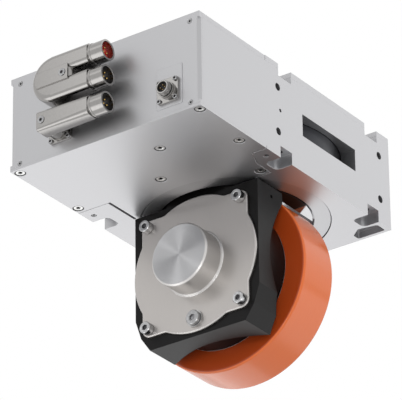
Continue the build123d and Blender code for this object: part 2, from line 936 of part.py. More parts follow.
# Two alike geared motors stand side by side on the floor of the motor room
for name, x in (("steering_motor", -motor_spread), ("drive_motor", motor_spread)):
    with BuildPart() as motor:
        with BuildSketch(Plane.XY.offset(level(floor_thickness))):
            with Locations((x, motor_y)):
                Circle(motor_radius)
        extrude(amount=motor_high - floor_thickness)
        chamfer(edges().filter_by(GeomType.CIRCLE), motor_edge)
        with BuildSketch(Plane.XY.offset(level(motor_high - motor_groove_drop))):
            with Locations((x, motor_y)):
                Circle(motor_radius)
                Circle(motor_radius - motor_groove, mode=Mode.SUBTRACT)
        extrude(amount=motor_groove, mode=Mode.SUBTRACT)
        bores(
            Plane.XY.offset(level(motor_high)),
            [(x, motor_y)],
            motor_shaft_radius + fit,
            motor_bore_depth,
        )
    motor.part.label = name
    export_step(motor.part, f"parts/{name}.step")

# Motor pinions with their shafts; the steering one meshes with the ring, the drive one stands clear
with BuildPart() as steering_pinion:
    with BuildSketch(Plane.XY.offset(level(steering_gear_low))):
        with Locations((-motor_spread, motor_y)):
            turn = towards_pinion + pi + pi / pinion_teeth
            Polygon(*spur_points(gear_module, pinion_teeth, turn), align=None)
    extrude(amount=steering_gear_high - steering_gear_low)
    with BuildSketch(Plane.XY.offset(level(motor_high - motor_bore_depth + end_gap))):
        with Locations((-motor_spread, motor_y)):
            Circle(motor_shaft_radius)
    extrude(amount=steering_gear_high + shaft_stub - motor_high + motor_bore_depth - end_gap)
steering_pinion.part.label = "steering_pinion"
export_step(steering_pinion.part, "parts/steering_pinion.step")

with BuildPart() as drive_pinion:
    with BuildSketch(Plane.XY.offset(level(drive_gear_low))):
        with Locations((motor_spread, motor_y)):
            Polygon(*spur_points(gear_module, pinion_teeth), align=None)
    extrude(amount=drive_gear_high - drive_gear_low)
    with BuildSketch(Plane.XY.offset(level(motor_high - motor_bore_depth + end_gap))):
        with Locations((motor_spread, motor_y)):
            Circle(motor_shaft_radius)
    extrude(amount=drive_gear_high + shaft_stub - motor_high + motor_bore_depth - end_gap)
drive_pinion.part.label = "drive_pinion"
export_step(drive_pinion.part, "parts/drive_pinion.step")

# Control board on four standoffs in front of the motors
with BuildPart() as control_board:
    with BuildSketch(Plane.XY.offset(level(floor_thickness + board_rise))):
        patch(-board_reach, -board_front, board_reach, -board_back)
    extrude(amount=board_thickness)
    with BuildSketch(Plane.XY.offset(level(floor_thickness + board_rise + board_thickness))):
        with Locations(*[(x, board_middle) for x in chip_x]):
            Rectangle(chip_length, board_front - board_back - 2 * chip_inset)
    extrude(amount=chip_height)
control_board.part.label = "control_board"
export_step(control_board.part, "parts/control_board.step")

with BuildPart() as board_standoffs:
    with BuildSketch(Plane.XY.offset(level(floor_thickness))):
        with Locations(*board_places):
            RegularPolygon(standoff_radius, 6)
    extrude(amount=board_rise)
board_standoffs.part.label = "board_standoffs"
export_step(board_standoffs.part, "parts/board_standoffs.step")

# Crossed roller bearing of the turntable
with BuildPart() as turntable_bearing_outer:
    with BuildSketch(Plane.XZ):
        Polygon(
            (outer_race_radius, level(bearing_low)),
            (outer_race_radius, level(bearing_low + bearing_height)),
            (outer_race_bore, level(bearing_low + bearing_height)),
            (outer_race_bore, level(race_middle) + outer_apex - outer_race_bore),
            (outer_apex, level(race_middle)),
            (outer_race_bore, level(race_middle) - outer_apex + outer_race_bore),
            (outer_race_bore, level(bearing_low)),
            align=None,
        )
    revolve(axis=Axis.Z)
turntable_bearing_outer.part.label = "turntable_bearing_outer"
export_step(turntable_bearing_outer.part, "parts/turntable_bearing_outer.step")

with BuildPart() as turntable_bearing_inner:
    with BuildSketch(Plane.XZ):
        Polygon(
            (inner_race_bore, level(bearing_low)),
            (inner_race_radius, level(bearing_low)),
            (inner_race_radius, level(race_middle) - inner_race_radius + inner_apex),
            (inner_apex, level(race_middle)),
            (inner_race_radius, level(race_middle) + inner_race_radius - inner_apex),
            (inner_race_radius, level(bearing_low + bearing_height)),
            (inner_race_bore, level(bearing_low + bearing_height)),
            align=None,
        )
    revolve(axis=Axis.Z)
turntable_bearing_inner.part.label = "turntable_bearing_inner"
export_step(turntable_bearing_inner.part, "parts/turntable_bearing_inner.step")

with BuildPart() as bearing_rollers:
    for k in range(roller_count):
        angle = 2 * pi * k / roller_count
        lean = 1 if k % 2 else -1
        outward = Vector(cos(angle), sin(angle), 0)
        axis = (outward + Vector(0, 0, lean)).normalized()
        centre = outward * roller_reach + Vector(0, 0, level(race_middle))
        with BuildSketch(Plane(origin=centre, z_dir=axis)):
            Circle(roller_radius)
        extrude(amount=roller_length / 2, both=True)
bearing_rollers.part.label = "bearing_rollers"
export_step(bearing_rollers.part, "parts/bearing_rollers.step")

# Turntable: the ring in the underside, the wheel well above it and its roof
with BuildPart() as turntable:
    with BuildSketch(Plane.XZ):
        Polygon(
            (opening_radius, level(plate_low)),
            (turntable_radius, level(plate_low)),
            (turntable_radius, level(bearing_low)),
            (inner_race_bore, level(bearing_low)),
            (inner_race_bore, level(roof_low)),
            (roof_radius, level(roof_low)),
            (roof_radius, level(roof_high)),
            (0, level(roof_high)),
            (0, level(roof_low)),
            (opening_radius, level(roof_low)),
            align=None,
        )
    revolve(axis=Axis.Z)
    # Plates beside the wheel, which a groove parts from the ring
    with BuildSketch(Plane.XY.offset(level(plate_low))):
        patch(wheel_slot, neck_rim_back + side_plate_gap, opening_radius, opening_radius)
        patch(-wheel_slot, neck_rim_back + side_plate_gap, -opening_radius, opening_radius)
        Circle(neck_radius, mode=Mode.INTERSECT)
    extrude(amount=side_plate_rise + side_plate_web)
    with BuildSketch(Plane.XY.offset(level(plate_low + side_plate_rise))):
        patch(wheel_slot, neck_rim_back + side_plate_gap, inner_race_bore, inner_race_bore)
        patch(-wheel_slot, neck_rim_back + side_plate_gap, -inner_race_bore, inner_race_bore)
        Circle((opening_radius + inner_race_bore) / 2, mode=Mode.INTERSECT)
    extrude(amount=side_plate_web)
    bores(
        Plane.XY.offset(level(roof_high)),
        [(0, 0), shaft_place],
        small_bearing_radius,
        small_bearing_width,
    )
    bores(Plane.XY.offset(level(roof_high)), [shaft_place], shaft_radius + shaft_room, roof_high - roof_low)
    bores(Plane.XY.offset(level(roof_high)), gearbox_bolts_at, m8_radius + hole_play, roof_high - roof_low)
    bores(
        Plane.XY.offset(level(roof_high)),
        ring_bolts_at,
        m6_radius + thread_play,
        ring_bolt_grip + hole_spare,
    )
turntable.part.label = "turntable"
export_step(turntable.part, "parts/turntable.step")

# Steering ring: a smooth drum behind the side windows, with the gear teeth on top
with BuildPart() as steering_ring:
    with BuildSketch(Plane.XY.offset(level(roof_high))):
        Circle(drum_radius)
        Circle(drum_flange_bore, mode=Mode.SUBTRACT)
    extrude(amount=drum_flange)
    with BuildSketch(Plane.XY.offset(level(roof_high))):
        Circle(drum_radius)
        Circle(drum_bore, mode=Mode.SUBTRACT)
    extrude(amount=drum_high - roof_high)
    with BuildSketch(Plane.XY.offset(level(drum_high))):
        Polygon(*spur_points(gear_module, ring_teeth, towards_pinion), align=None)
        Circle(drum_bore, mode=Mode.SUBTRACT)
    extrude(amount=steering_gear_high - drum_high)
    bores(Plane.XY.offset(level(ring_bolt_seat)), ring_bolts_at, m6_radius + hole_play, drum_flange)
steering_ring.part.label = "steering_ring"
export_step(steering_ring.part, "parts/steering_ring.step")

with BuildPart() as steering_ring_bolts:
    socket_screws(
        Plane.XY.offset(level(ring_bolt_seat)),
        ring_bolts_at,
        m6_radius,
        ring_bolt_head_radius,
        m6_head,
        drum_flange + ring_bolt_grip,
        m6_socket,
    )
steering_ring_bolts.part.label = "steering_ring_bolts"
export_step(steering_ring_bolts.part, "parts/steering_ring_bolts.step")

# Gearbox housing: a black casting with a square front and a round hub at the wheel
with BuildPart() as gearbox_housing:
    with BuildSketch(wheel_plane(-gearbox_back)):
        outline = [(gearbox_corners[0][0], top_over_axle), *gearbox_corners]
        Polygon(*outline, *[(-x, y) for x, y in reversed(outline)], align=None)
    extrude(amount=gearbox_front - gearbox_back)
    # Cone that leaves wings at the corners and frees the round hub
    with BuildSketch(Plane(origin=(0, 0, axle_z), x_dir=(1, 0, 0), z_dir=(0, 0, 1))):
        Polygon(
            (hub_radius, -cone_start),
            (hub_radius + cone_start, 0),
            (hub_radius, 0),
            align=None,
        )
    revolve(axis=wheel_axis, mode=Mode.SUBTRACT)
    with BuildSketch(wheel_plane(-hub_back)):
        Circle(hub_radius)
    extrude(amount=cone_start - hub_back)
    with BuildSketch(wheel_plane(-seat_neck_back)):
        Circle(seat_neck_radius)
    extrude(amount=hub_back - seat_neck_back)
    # Neck that goes up through the turntable's opening to its roof
    with BuildSketch(Plane.XY.offset(level(-gearbox_top_drop))):
        patch(-neck_half_width, -neck_front, neck_half_width, -neck_back)
        Circle(neck_radius, mode=Mode.INTERSECT)
    extrude(amount=roof_low + gearbox_top_drop)
    # Rim that fills the opening in front of the wheel and beside it
    with BuildSketch(Plane.XY.offset(level(plate_low))):
        patch(-neck_radius, -neck_front, neck_radius, neck_rim_back)
        Circle(neck_radius, mode=Mode.INTERSECT)
        patch(-wheel_slot, -neck_back, wheel_slot, neck_radius, mode=Mode.SUBTRACT)
    extrude(amount=neck_rim)
    # Gear room, open to the front, with a seat for the upright shaft's lower bearing
    with BuildSketch(wheel_plane(-gearbox_front)):
        Circle(cavity_radius)
    extrude(amount=-(gearbox_front - cavity_back), mode=Mode.SUBTRACT)
    discs(
        Plane.XY.offset(lower_bearing_top),
        [shaft_place],
        small_bearing_radius + small_bearing_wall,
        -small_bearing_width,
    )
    discs(
        Plane.XY.offset(lower_bearing_top),
        [shaft_place],
        small_bearing_radius + small_bearing_wall,
        lower_seat_height - small_bearing_width,
    )
    bores(Plane.XY.offset(lower_bearing_top), [shaft_place], small_bearing_radius, small_bearing_width)
    bores(
        Plane.XY.offset(level(roof_low)),
        [shaft_place],
        shaft_radius + shaft_room,
        roof_low + axle_drop - lower_bearing_rise,
    )
    # Rear bearing seat with the seal behind it, and the threaded holes
    bores(
        wheel_plane(-cavity_back),
        [(0, 0)],
        rear_bearing_radius - bearing_lip,
        cavity_back - seat_neck_back,
    )
    bores(
        wheel_plane(-rear_bearing_front),
        [(0, 0)],
        rear_bearing_radius,
        rear_bearing_front - seat_neck_back,
    )
    bores(
        wheel_plane(-gearbox_front),
        cover_bolts_at,
        m8_radius + thread_play,
        cover_bolt_grip + hole_spare,
    )
    bores(wheel_plane(-gearbox_front), [plug_place], plug_hole_radius, plug_grip + hole_spare)
    bores(Plane.YZ.offset(gearbox_corners[0][0]), [jig_place], jig_hole_radius, jig_hole_depth)
    bores(
        Plane.XY.offset(level(roof_low)),
        gearbox_bolts_at,
        m8_radius + thread_play,
        gearbox_bolt_grip + hole_spare,
    )
gearbox_housing.part.label = "gearbox_housing"
export_step(gearbox_housing.part, "parts/gearbox_housing.step")

with BuildPart() as gearbox_bolts:
    socket_screws(
        Plane.XY.offset(level(roof_high)),
        gearbox_bolts_at,
        m8_radius,
        m8_head_radius,
        m8_head,
        roof_high - roof_low + gearbox_bolt_grip,
        m8_socket,
    )
gearbox_bolts.part.label = "gearbox_bolts"
export_step(gearbox_bolts.part, "parts/gearbox_bolts.step")

# Stainless gearbox cover with four ears and the round boss of the front bearing
cover_face = wheel_plane(-gearbox_front - cover_plate)
with BuildPart() as gearbox_cover:
    with BuildSketch(wheel_plane(-gearbox_front)):
        RectangleRounded(2 * ear_half_width, 2 * ear_half_width, ear_round)
        Circle(cover_radius)
        inner = vertices().filter_by(lambda v: abs(hypot(v.X, v.Y) - cover_radius) < 0.01)
        fillet(inner, ear_fillet)
    extrude(amount=cover_plate)
    chamfer(faces().sort_by(Axis.Y)[0].edges(), cover_chamfer)
    discs(cover_face, [(0, 0)], boss_radius + boss_root_step, boss_root_height)
    chamfer(faces().sort_by(Axis.Y)[0].edges(), boss_root_chamfer)
    discs(cover_face, [(0, 0)], boss_radius, boss_front - gearbox_front - cover_plate)
    chamfer(faces().sort_by(Axis.Y)[0].edges(), boss_chamfer)
    bores(
        wheel_plane(-front_bearing_front - front_bearing_cap),
        [(0, 0)],
        front_bearing_radius,
        front_bearing_front + front_bearing_cap - gearbox_front,
    )
    bores(cover_face, cover_bolts_at, m8_radius + hole_play, cover_plate)
    bores(cover_face, [plug_place], plug_hole_radius + hole_play, cover_plate)
gearbox_cover.part.label = "gearbox_cover"
export_step(gearbox_cover.part, "parts/gearbox_cover.step")

with BuildPart() as gearbox_cover_screws:
    socket_screws(
        cover_face,
        cover_bolts_at,
        m8_radius,
        m8_head_radius,
        m8_head,
        cover_plate + cover_bolt_grip,
        m8_socket,
    )
gearbox_cover_screws.part.label = "gearbox_cover_screws"
export_step(gearbox_cover_screws.part, "parts/gearbox_cover_screws.step")

with BuildPart() as plug_washer:
    with BuildSketch(cover_face):
        with Locations(plug_place):
            Circle(washer_radius)
            Circle(plug_hole_radius + hole_play, mode=Mode.SUBTRACT)
    extrude(amount=washer_thickness)
plug_washer.part.label = "plug_washer"
export_step(plug_washer.part, "parts/plug_washer.step")

with BuildPart() as plug_screw:
    socket_screws(
        cover_face.offset(washer_thickness),
        [plug_place],
        plug_radius,
        plug_head_radius,
        plug_head,
        washer_thickness + cover_plate + plug_grip,
        plug_socket,
    )
plug_screw.part.label = "plug_screw"
export_step(plug_screw.part, "parts/plug_screw.step")

# Bearings and seal of the axle, which stand still in the gearbox
with BuildPart() as axle_bearing_front:
    ring(
        wheel_plane(-front_bearing_front),
        front_bearing_radius,
        axle_nose_radius + fit,
        -front_bearing_width,
    )
axle_bearing_front.part.label = "axle_bearing_front"
export_step(axle_bearing_front.part, "parts/axle_bearing_front.step")

with BuildPart() as axle_bearing_rear:
    ring(wheel_plane(-rear_bearing_front), rear_bearing_radius, axle_radius + fit, -rear_bearing_width)
axle_bearing_rear.part.label = "axle_bearing_rear"
export_step(axle_bearing_rear.part, "parts/axle_bearing_rear.step")

with BuildPart() as axle_seal:
    ring(
        wheel_plane(-rear_bearing_front + rear_bearing_width),
        rear_bearing_radius,
        axle_radius + fit,
        -seal_width,
    )
axle_seal.part.label = "axle_seal"
export_step(axle_seal.part, "parts/axle_seal.step")

# Small bearings of the upright shafts
with BuildPart() as shaft_bearings:
    for base in (axle_z + lower_bearing_rise, level(roof_high - small_bearing_width)):
        ring(
            Plane(origin=(0, -planet_centre, base)),
            small_bearing_radius,
            shaft_radius + fit,
            small_bearing_width,
        )
shaft_bearings.part.label = "shaft_bearings"
export_step(shaft_bearings.part, "parts/shaft_bearings.step")

with BuildPart() as sun_bearing_bottom:
    ring(
        Plane.XY.offset(level(roof_high - small_bearing_width)),
        small_bearing_radius,
        shaft_radius + fit,
        small_bearing_width,
    )
sun_bearing_bottom.part.label = "sun_bearing_bottom"
export_step(sun_bearing_bottom.part, "parts/sun_bearing_bottom.step")

with BuildPart() as sun_bearing_top:
    ring(
        Plane.XY.offset(level(upper_bearing_low)),
        small_bearing_radius,
        shaft_radius + fit,
        small_bearing_width,
    )
sun_bearing_top.part.label = "sun_bearing_top"
export_step(sun_bearing_top.part, "parts/sun_bearing_top.step")

# Upright shaft: bevel pinion at the bottom, planet gear on top
pinion_large = bevel_points(
    bevel_pinion_teeth,
    bevel_pinion_pitch,
    bevel_gear_pitch,
    -pi / 2 + pi / bevel_pinion_teeth,
)
with BuildPart() as pinion_shaft:
    with BuildSketch(Plane(origin=(0, -planet_centre, axle_z + bevel_gear_pitch))):
        Polygon(*pinion_large, align=None)
    with BuildSketch(Plane(origin=(0, -planet_centre, axle_z + bevel_gear_pitch * bevel_small))):
        Polygon(*scaled(pinion_large, bevel_small), align=None)
    loft(ruled=True)
    discs(
        Plane.XY.offset(axle_z + bevel_gear_pitch),
        [shaft_place],
        shaft_radius + shaft_shoulder,
        lower_bearing_rise - bevel_gear_pitch,
    )
    discs(
        Plane.XY.offset(axle_z + lower_bearing_rise),
        [shaft_place],
        shaft_radius,
        level(sun_gear_high + shaft_stub) - axle_z - lower_bearing_rise,
    )
pinion_shaft.part.label = "pinion_shaft"
export_step(pinion_shaft.part, "parts/pinion_shaft.step")

with BuildPart() as planet_gear:
    with BuildSketch(Plane(origin=(0, -planet_centre, level(sun_gear_low)))):
        Polygon(*spur_points(sun_module, planet_teeth, pi / 2 + pi / planet_teeth), align=None)
        Circle(shaft_radius, mode=Mode.SUBTRACT)
    extrude(amount=sun_gear_high - sun_gear_low)
planet_gear.part.label = "planet_gear"
export_step(planet_gear.part, "parts/planet_gear.step")

# Shaft on the steering axis: sun gear below, drive ring above
with BuildPart() as sun_shaft:
    with BuildSketch(Plane.XY.offset(level(sun_gear_low))):
        Polygon(*spur_points(sun_module, sun_teeth, -pi / 2), align=None)
    extrude(amount=sun_gear_high - sun_gear_low)
    discs(
        Plane.XY.offset(level(roof_high - small_bearing_width + end_gap)),
        [(0, 0)],
        shaft_radius,
        upper_bearing_low - roof_high + 2 * (small_bearing_width - end_gap),
    )
sun_shaft.part.label = "sun_shaft"
export_step(sun_shaft.part, "parts/sun_shaft.step")

with BuildPart() as drive_ring:
    with BuildSketch(Plane.XY.offset(level(drive_gear_low))):
        Polygon(*spur_points(gear_module, drive_teeth, tip=drive_tip), align=None)
    extrude(amount=drive_gear_high - drive_gear_low)
    for base in (drive_gear_low, drive_gear_high - drive_recess):
        with BuildSketch(Plane.XY.offset(level(base))):
            Circle(drive_rim_bore)
            Circle(drive_hub_radius, mode=Mode.SUBTRACT)
        extrude(amount=drive_recess, mode=Mode.SUBTRACT)
    gear_width = drive_gear_high - drive_gear_low
    bores(Plane.XY.offset(level(drive_gear_high)), [(0, 0)], shaft_radius, gear_width)
    holes = on_circle(drive_hole_reach, drive_hole_count)
    bores(Plane.XY.offset(level(drive_gear_high)), holes, drive_hole_radius, gear_width)
drive_ring.part.label = "drive_ring"
export_step(drive_ring.part, "parts/drive_ring.step")

# Axle, from the front bearing in the boss to the wheel flange
with BuildPart() as axle:
    with BuildSketch(Plane(origin=(0, 0, axle_z))):
        Polygon(
            (0, -front_bearing_front),
            (axle_nose_radius, -front_bearing_front),
            (axle_nose_radius, -front_bearing_front + front_bearing_width),
            (axle_radius, -front_bearing_front + front_bearing_width),
            (axle_radius, web_front - axle_flange_width),
            (axle_flange_radius, web_front - axle_flange_width),
            (axle_flange_radius, web_front),
            (axle_spigot_radius, web_front),
            (axle_spigot_radius, web_front + rim_web - spigot_gap),
            (0, web_front + rim_web - spigot_gap),
            align=None,
        )
    revolve(axis=wheel_axis)
    bores(wheel_plane(web_front), wheel_bolts_at, m8_radius + thread_play, -axle_flange_width)
axle.part.label = "axle"
export_step(axle.part, "parts/axle.step")

gear_large = bevel_points(bevel_gear_teeth, bevel_gear_pitch, bevel_pinion_pitch, pi / 2)
with BuildPart() as bevel_gear:
    with BuildSketch(wheel_plane(gear_back)):
        Polygon(*gear_large, align=None)
    with BuildSketch(wheel_plane(gear_back + bevel_pinion_pitch * (1 - bevel_small))):
        Polygon(*scaled(gear_large, bevel_small), align=None)
    loft(ruled=True)
    discs(wheel_plane(gear_back), [(0, 0)], bevel_gear_pitch - bevel_rim, bevel_backing)
    discs(
        wheel_plane(gear_back),
        [(0, 0)],
        axle_radius + bevel_hub_wall,
        front_bearing_front - front_bearing_width + gear_back - end_gap,
    )
    bores(wheel_plane(-front_bearing_front), [(0, 0)], axle_radius, front_bearing_front)
bevel_gear.part.label = "bevel_gear"
export_step(bevel_gear.part, "parts/bevel_gear.step")

# Wheel: rim with a web, polyurethane tyre, bolts from behind
with BuildPart() as wheel_rim:
    with BuildSketch(Plane(origin=(0, 0, axle_z))):
        patch(rim_radius - rim_wall, tyre_front, rim_radius, tyre_back)
        patch(axle_spigot_radius, web_front, rim_radius, web_front + rim_web)
    revolve(axis=wheel_axis)
    bores(wheel_plane(web_front), wheel_bolts_at, m8_radius + hole_play, rim_web)
    chamfer(edges().filter_by(GeomType.CIRCLE).group_by(SortBy.RADIUS)[-3], rim_chamfer)
wheel_rim.part.label = "wheel_rim"
export_step(wheel_rim.part, "parts/wheel_rim.step")

with BuildPart() as tyre:
    with BuildSketch(Plane(origin=(0, 0, axle_z))):
        patch(rim_radius, tyre_front, wheel_radius, tyre_back)
        tread_corners = vertices().group_by(Axis.X)[-1]
        fillet(tread_corners, tread_round)
    revolve(axis=wheel_axis)
tyre.part.label = "tyre"
export_step(tyre.part, "parts/tyre.step")

with BuildPart() as wheel_bolts:
    rear_face = Plane(origin=(0, web_front + rim_web, axle_z), x_dir=(-1, 0, 0), z_dir=(0, 1, 0))
    socket_screws(
        rear_face,
        [(-x, y) for x, y in wheel_bolts_at],
        m8_radius,
        m8_head_radius,
        m8_head,
        rim_web + axle_flange_width - end_gap,
        m8_socket,
    )
wheel_bolts.part.label = "wheel_bolts"
export_step(wheel_bolts.part, "parts/wheel_bolts.step")
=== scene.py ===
# %% [markdown]
# # A drive wheel unit for a driverless transport vehicle
# The unit is a flat milled aluminium housing with connectors in front, and under it a turntable that
# carries a black gearbox and one orange wheel. Its exact shapes come from CAD. This lesson gives them
# light, finishes and the fine pieces that a workshop adds: screws with real sockets, seals, threads,
# round-nosed pins and the turned face of a boss.

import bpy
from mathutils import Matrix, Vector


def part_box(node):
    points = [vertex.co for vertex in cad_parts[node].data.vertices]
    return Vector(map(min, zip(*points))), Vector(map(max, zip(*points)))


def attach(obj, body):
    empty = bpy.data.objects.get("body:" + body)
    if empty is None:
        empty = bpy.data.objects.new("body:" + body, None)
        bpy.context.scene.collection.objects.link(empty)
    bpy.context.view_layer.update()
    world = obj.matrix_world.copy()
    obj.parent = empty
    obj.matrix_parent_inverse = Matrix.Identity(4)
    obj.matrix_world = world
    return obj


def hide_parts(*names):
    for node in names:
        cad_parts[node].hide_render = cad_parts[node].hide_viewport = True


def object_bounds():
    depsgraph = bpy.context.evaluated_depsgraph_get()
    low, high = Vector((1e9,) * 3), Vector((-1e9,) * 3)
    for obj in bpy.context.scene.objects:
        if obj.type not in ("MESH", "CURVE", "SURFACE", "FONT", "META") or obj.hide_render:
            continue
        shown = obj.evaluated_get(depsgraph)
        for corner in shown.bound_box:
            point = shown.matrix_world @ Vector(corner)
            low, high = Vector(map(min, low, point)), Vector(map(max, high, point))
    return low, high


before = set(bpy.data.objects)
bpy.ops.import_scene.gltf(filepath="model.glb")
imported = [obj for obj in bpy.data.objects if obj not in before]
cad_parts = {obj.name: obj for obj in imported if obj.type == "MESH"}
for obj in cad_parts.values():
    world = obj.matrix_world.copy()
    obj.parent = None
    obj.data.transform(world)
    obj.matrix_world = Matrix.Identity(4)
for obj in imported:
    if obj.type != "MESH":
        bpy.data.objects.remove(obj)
cad_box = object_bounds()
print("parts from CAD:", len(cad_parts))

# %% [markdown]
# ## Millimetres and colours
# Blender works in metres and in linear light. A workshop drawing is in millimetres, and colours are
# given as sRGB hex values. One constant and one small function keep both in the units that a maker
# thinks in.

# %% Units and colours
import math

import bmesh
import bpy
import numpy as np
from mathutils import Matrix, Vector

MM = 0.001
X, Y, Z = 0, 1, 2


def colour(code):
    """Linear colour of an sRGB hex code: c / 12.92 up to 0.04045, else ((c + 0.055) / 1.055) ^ 2.4."""
    channels = np.array([int(code[i:i + 2], 16) for i in (1, 3, 5)]) / 255
    linear = np.where(channels <= 0.04045, channels / 12.92, ((channels + 0.055) / 1.055) ** 2.4)
    return (*linear.tolist(), 1.0)


print("mid grey in linear light:", round(colour("#808080")[0], 3))

# %% [markdown]
# ## The camera
# The unit was photographed from below, from its front right corner, through a long lens, so its
# parallel edges hardly converge. Two angles and a roll set the direction. The lens follows from how
# large a known length looks in a picture 402 pixels wide.

# %% Camera
PICTURE_WIDTH = 402


def photo_camera(place, azimuth, elevation, roll, pixels):
    """A camera at place in mm, rolled in its plane, with a focal length given in pixels of the picture.

    The backward axis is (sin a cos e, -cos a cos e, sin e), right is forward x up, and roll turns both.
    """
    a, e, r = np.radians([azimuth, elevation, roll])
    back = np.array([math.sin(a) * math.cos(e), -math.cos(a) * math.cos(e), math.sin(e)])
    level = np.cross(-back, [0, 0, 1])
    level = level / np.linalg.norm(level)
    upright = np.cross(level, -back)
    right = math.cos(r) * level + math.sin(r) * upright
    up = math.cos(r) * upright - math.sin(r) * level
    lens = bpy.data.cameras.new("photo_camera")
    lens.sensor_fit = "HORIZONTAL"
    lens.sensor_width = 36
    lens.lens = lens.sensor_width * pixels / PICTURE_WIDTH
    lens.clip_start = 0.05
    eye = bpy.data.objects.new("photo_camera", lens)
    turn = Matrix(np.stack([right, up, back], 1).tolist()).to_4x4()
    eye.matrix_world = Matrix.Translation(Vector(place) * MM) @ turn
    bpy.context.collection.objects.link(eye)
    return eye


stand = (2157.8, -3091.9, -2031.2)
camera = photo_camera(stand, azimuth=35.465, elevation=-27.503, roll=-0.731, pixels=4035)
bpy.context.scene.camera = camera
print("lens:", round(camera.data.lens), "mm")

# %% [markdown]
# ## Nodes
# A material is a small network. One helper adds any node, sets it and wires it, so that each finish
# below reads like a recipe.

# %% Node helper
def add(tree, kind, inputs=None, **settings):
    """Add a node. Its settings are properties, and its inputs are sockets, by their name or number.

    Each input is a constant or another node's socket, to which it is linked.
    """
    made = tree.nodes.new("ShaderNode" + kind)
    for key, value in settings.items():
        setattr(made, key, value)
    for key, value in (inputs or {}).items():
        if isinstance(value, bpy.types.NodeSocket):
            tree.links.new(value, made.inputs[key])
        else:
            made.inputs[key].default_value = value
    return made


# %% [markdown]
# ## Studio
# The unit stands in a plain white room. A photograph of a studio could light it, but a plain world is
# even on every side. Metal and camera see it as paper white, and everything else gets a softer light
# from it, so that paint and plastic keep some shade.

# %% World
world = bpy.data.worlds.new("white_room")
bpy.context.scene.world = world
world.use_nodes = True
room = world.node_tree
room.nodes.clear()
rays = add(room, "LightPath")
straight, mirrored = rays.outputs["Is Camera Ray"], rays.outputs["Is Glossy Ray"]
passed = rays.outputs["Is Transmission Ray"]
direct = add(room, "Math", {0: straight, 1: mirrored}, operation="MAXIMUM")
seen = add(room, "Math", {0: direct.outputs[0], 1: passed}, operation="MAXIMUM")
level = add(room, "MapRange", {"Value": seen.outputs[0], "To Min": 0.62, "To Max": 1.0})
light = add(room, "Background", {"Color": colour("#ffffff"), "Strength": level.outputs[0]})
add(room, "OutputWorld", {"Surface": light.outputs[0]})
print("world:", world.name)

# %% [markdown]
# ## Lamps
# A bare white room makes metal look flat. Six square lamps stand where the faces of the unit mirror
# them: low and high in front, beside the camera, low behind on either side, and high behind. They add
# a soft patch to what the metal mirrors, and stay dim enough that pale metal keeps its tone from
# every side. A broad key lamp lights the paint and the plastic, and metal doesn't mirror it.

# %% Lamps
UNIT_MIDDLE = Vector((0, -0.05, -0.1))


def soft_lamp(name, place, size, glow):
    """A square area lamp in metres that faces the unit. A glow of 1 is paper white.

    The power is glow x pi x size^2, so the lamp looks equally bright at every size.
    """
    lamp = bpy.data.lights.new(name, "AREA")
    lamp.energy = glow * math.pi * size ** 2
    lamp.size = size
    holder = bpy.data.objects.new(name, lamp)
    holder.location = place
    holder.rotation_euler = (UNIT_MIDDLE - Vector(place)).to_track_quat("-Z", "Y").to_euler()
    bpy.context.collection.objects.link(holder)
    return holder


lamps = {
    "lamp_front_left": ((-1.15, -1.07, -1.15), 1.1, 1.1),
    "lamp_front_high": ((-0.6, -1.45, 0.73), 0.6, 0.55),
    "lamp_camera_side": ((0.85, -1.25, -0.95), 0.5, 2.5),
    "lamp_right_low": ((0.97, 1.3, -0.72), 1.3, 1.0),
    "lamp_below": ((-0.95, 0.86, -0.85), 1.2, 0.72),
    "lamp_behind": ((0.9, 1.3, 0.7), 1.4, 0.45),
    "lamp_key": ((1.2, -1.3, -0.2), 0.9, 5.5),
}
for name, (place, size, glow) in lamps.items():
    soft_lamp(name, place, size, glow)
bpy.data.objects["lamp_key"].visible_glossy = False
print("lamps:", len(lamps))

# %% [markdown]
# ## Surfaces from numbers
# The new pieces could be modelled by hand or with modifiers. Here each one is a grid of points worked
# out by a formula in two parameters, which keeps its sizes exact and repeats it at no cost. The grid
# becomes quads, the points that fall together at poles and seams are merged, and the parameters
# become the UV map, so a brushed finish can follow the way the piece was turned.

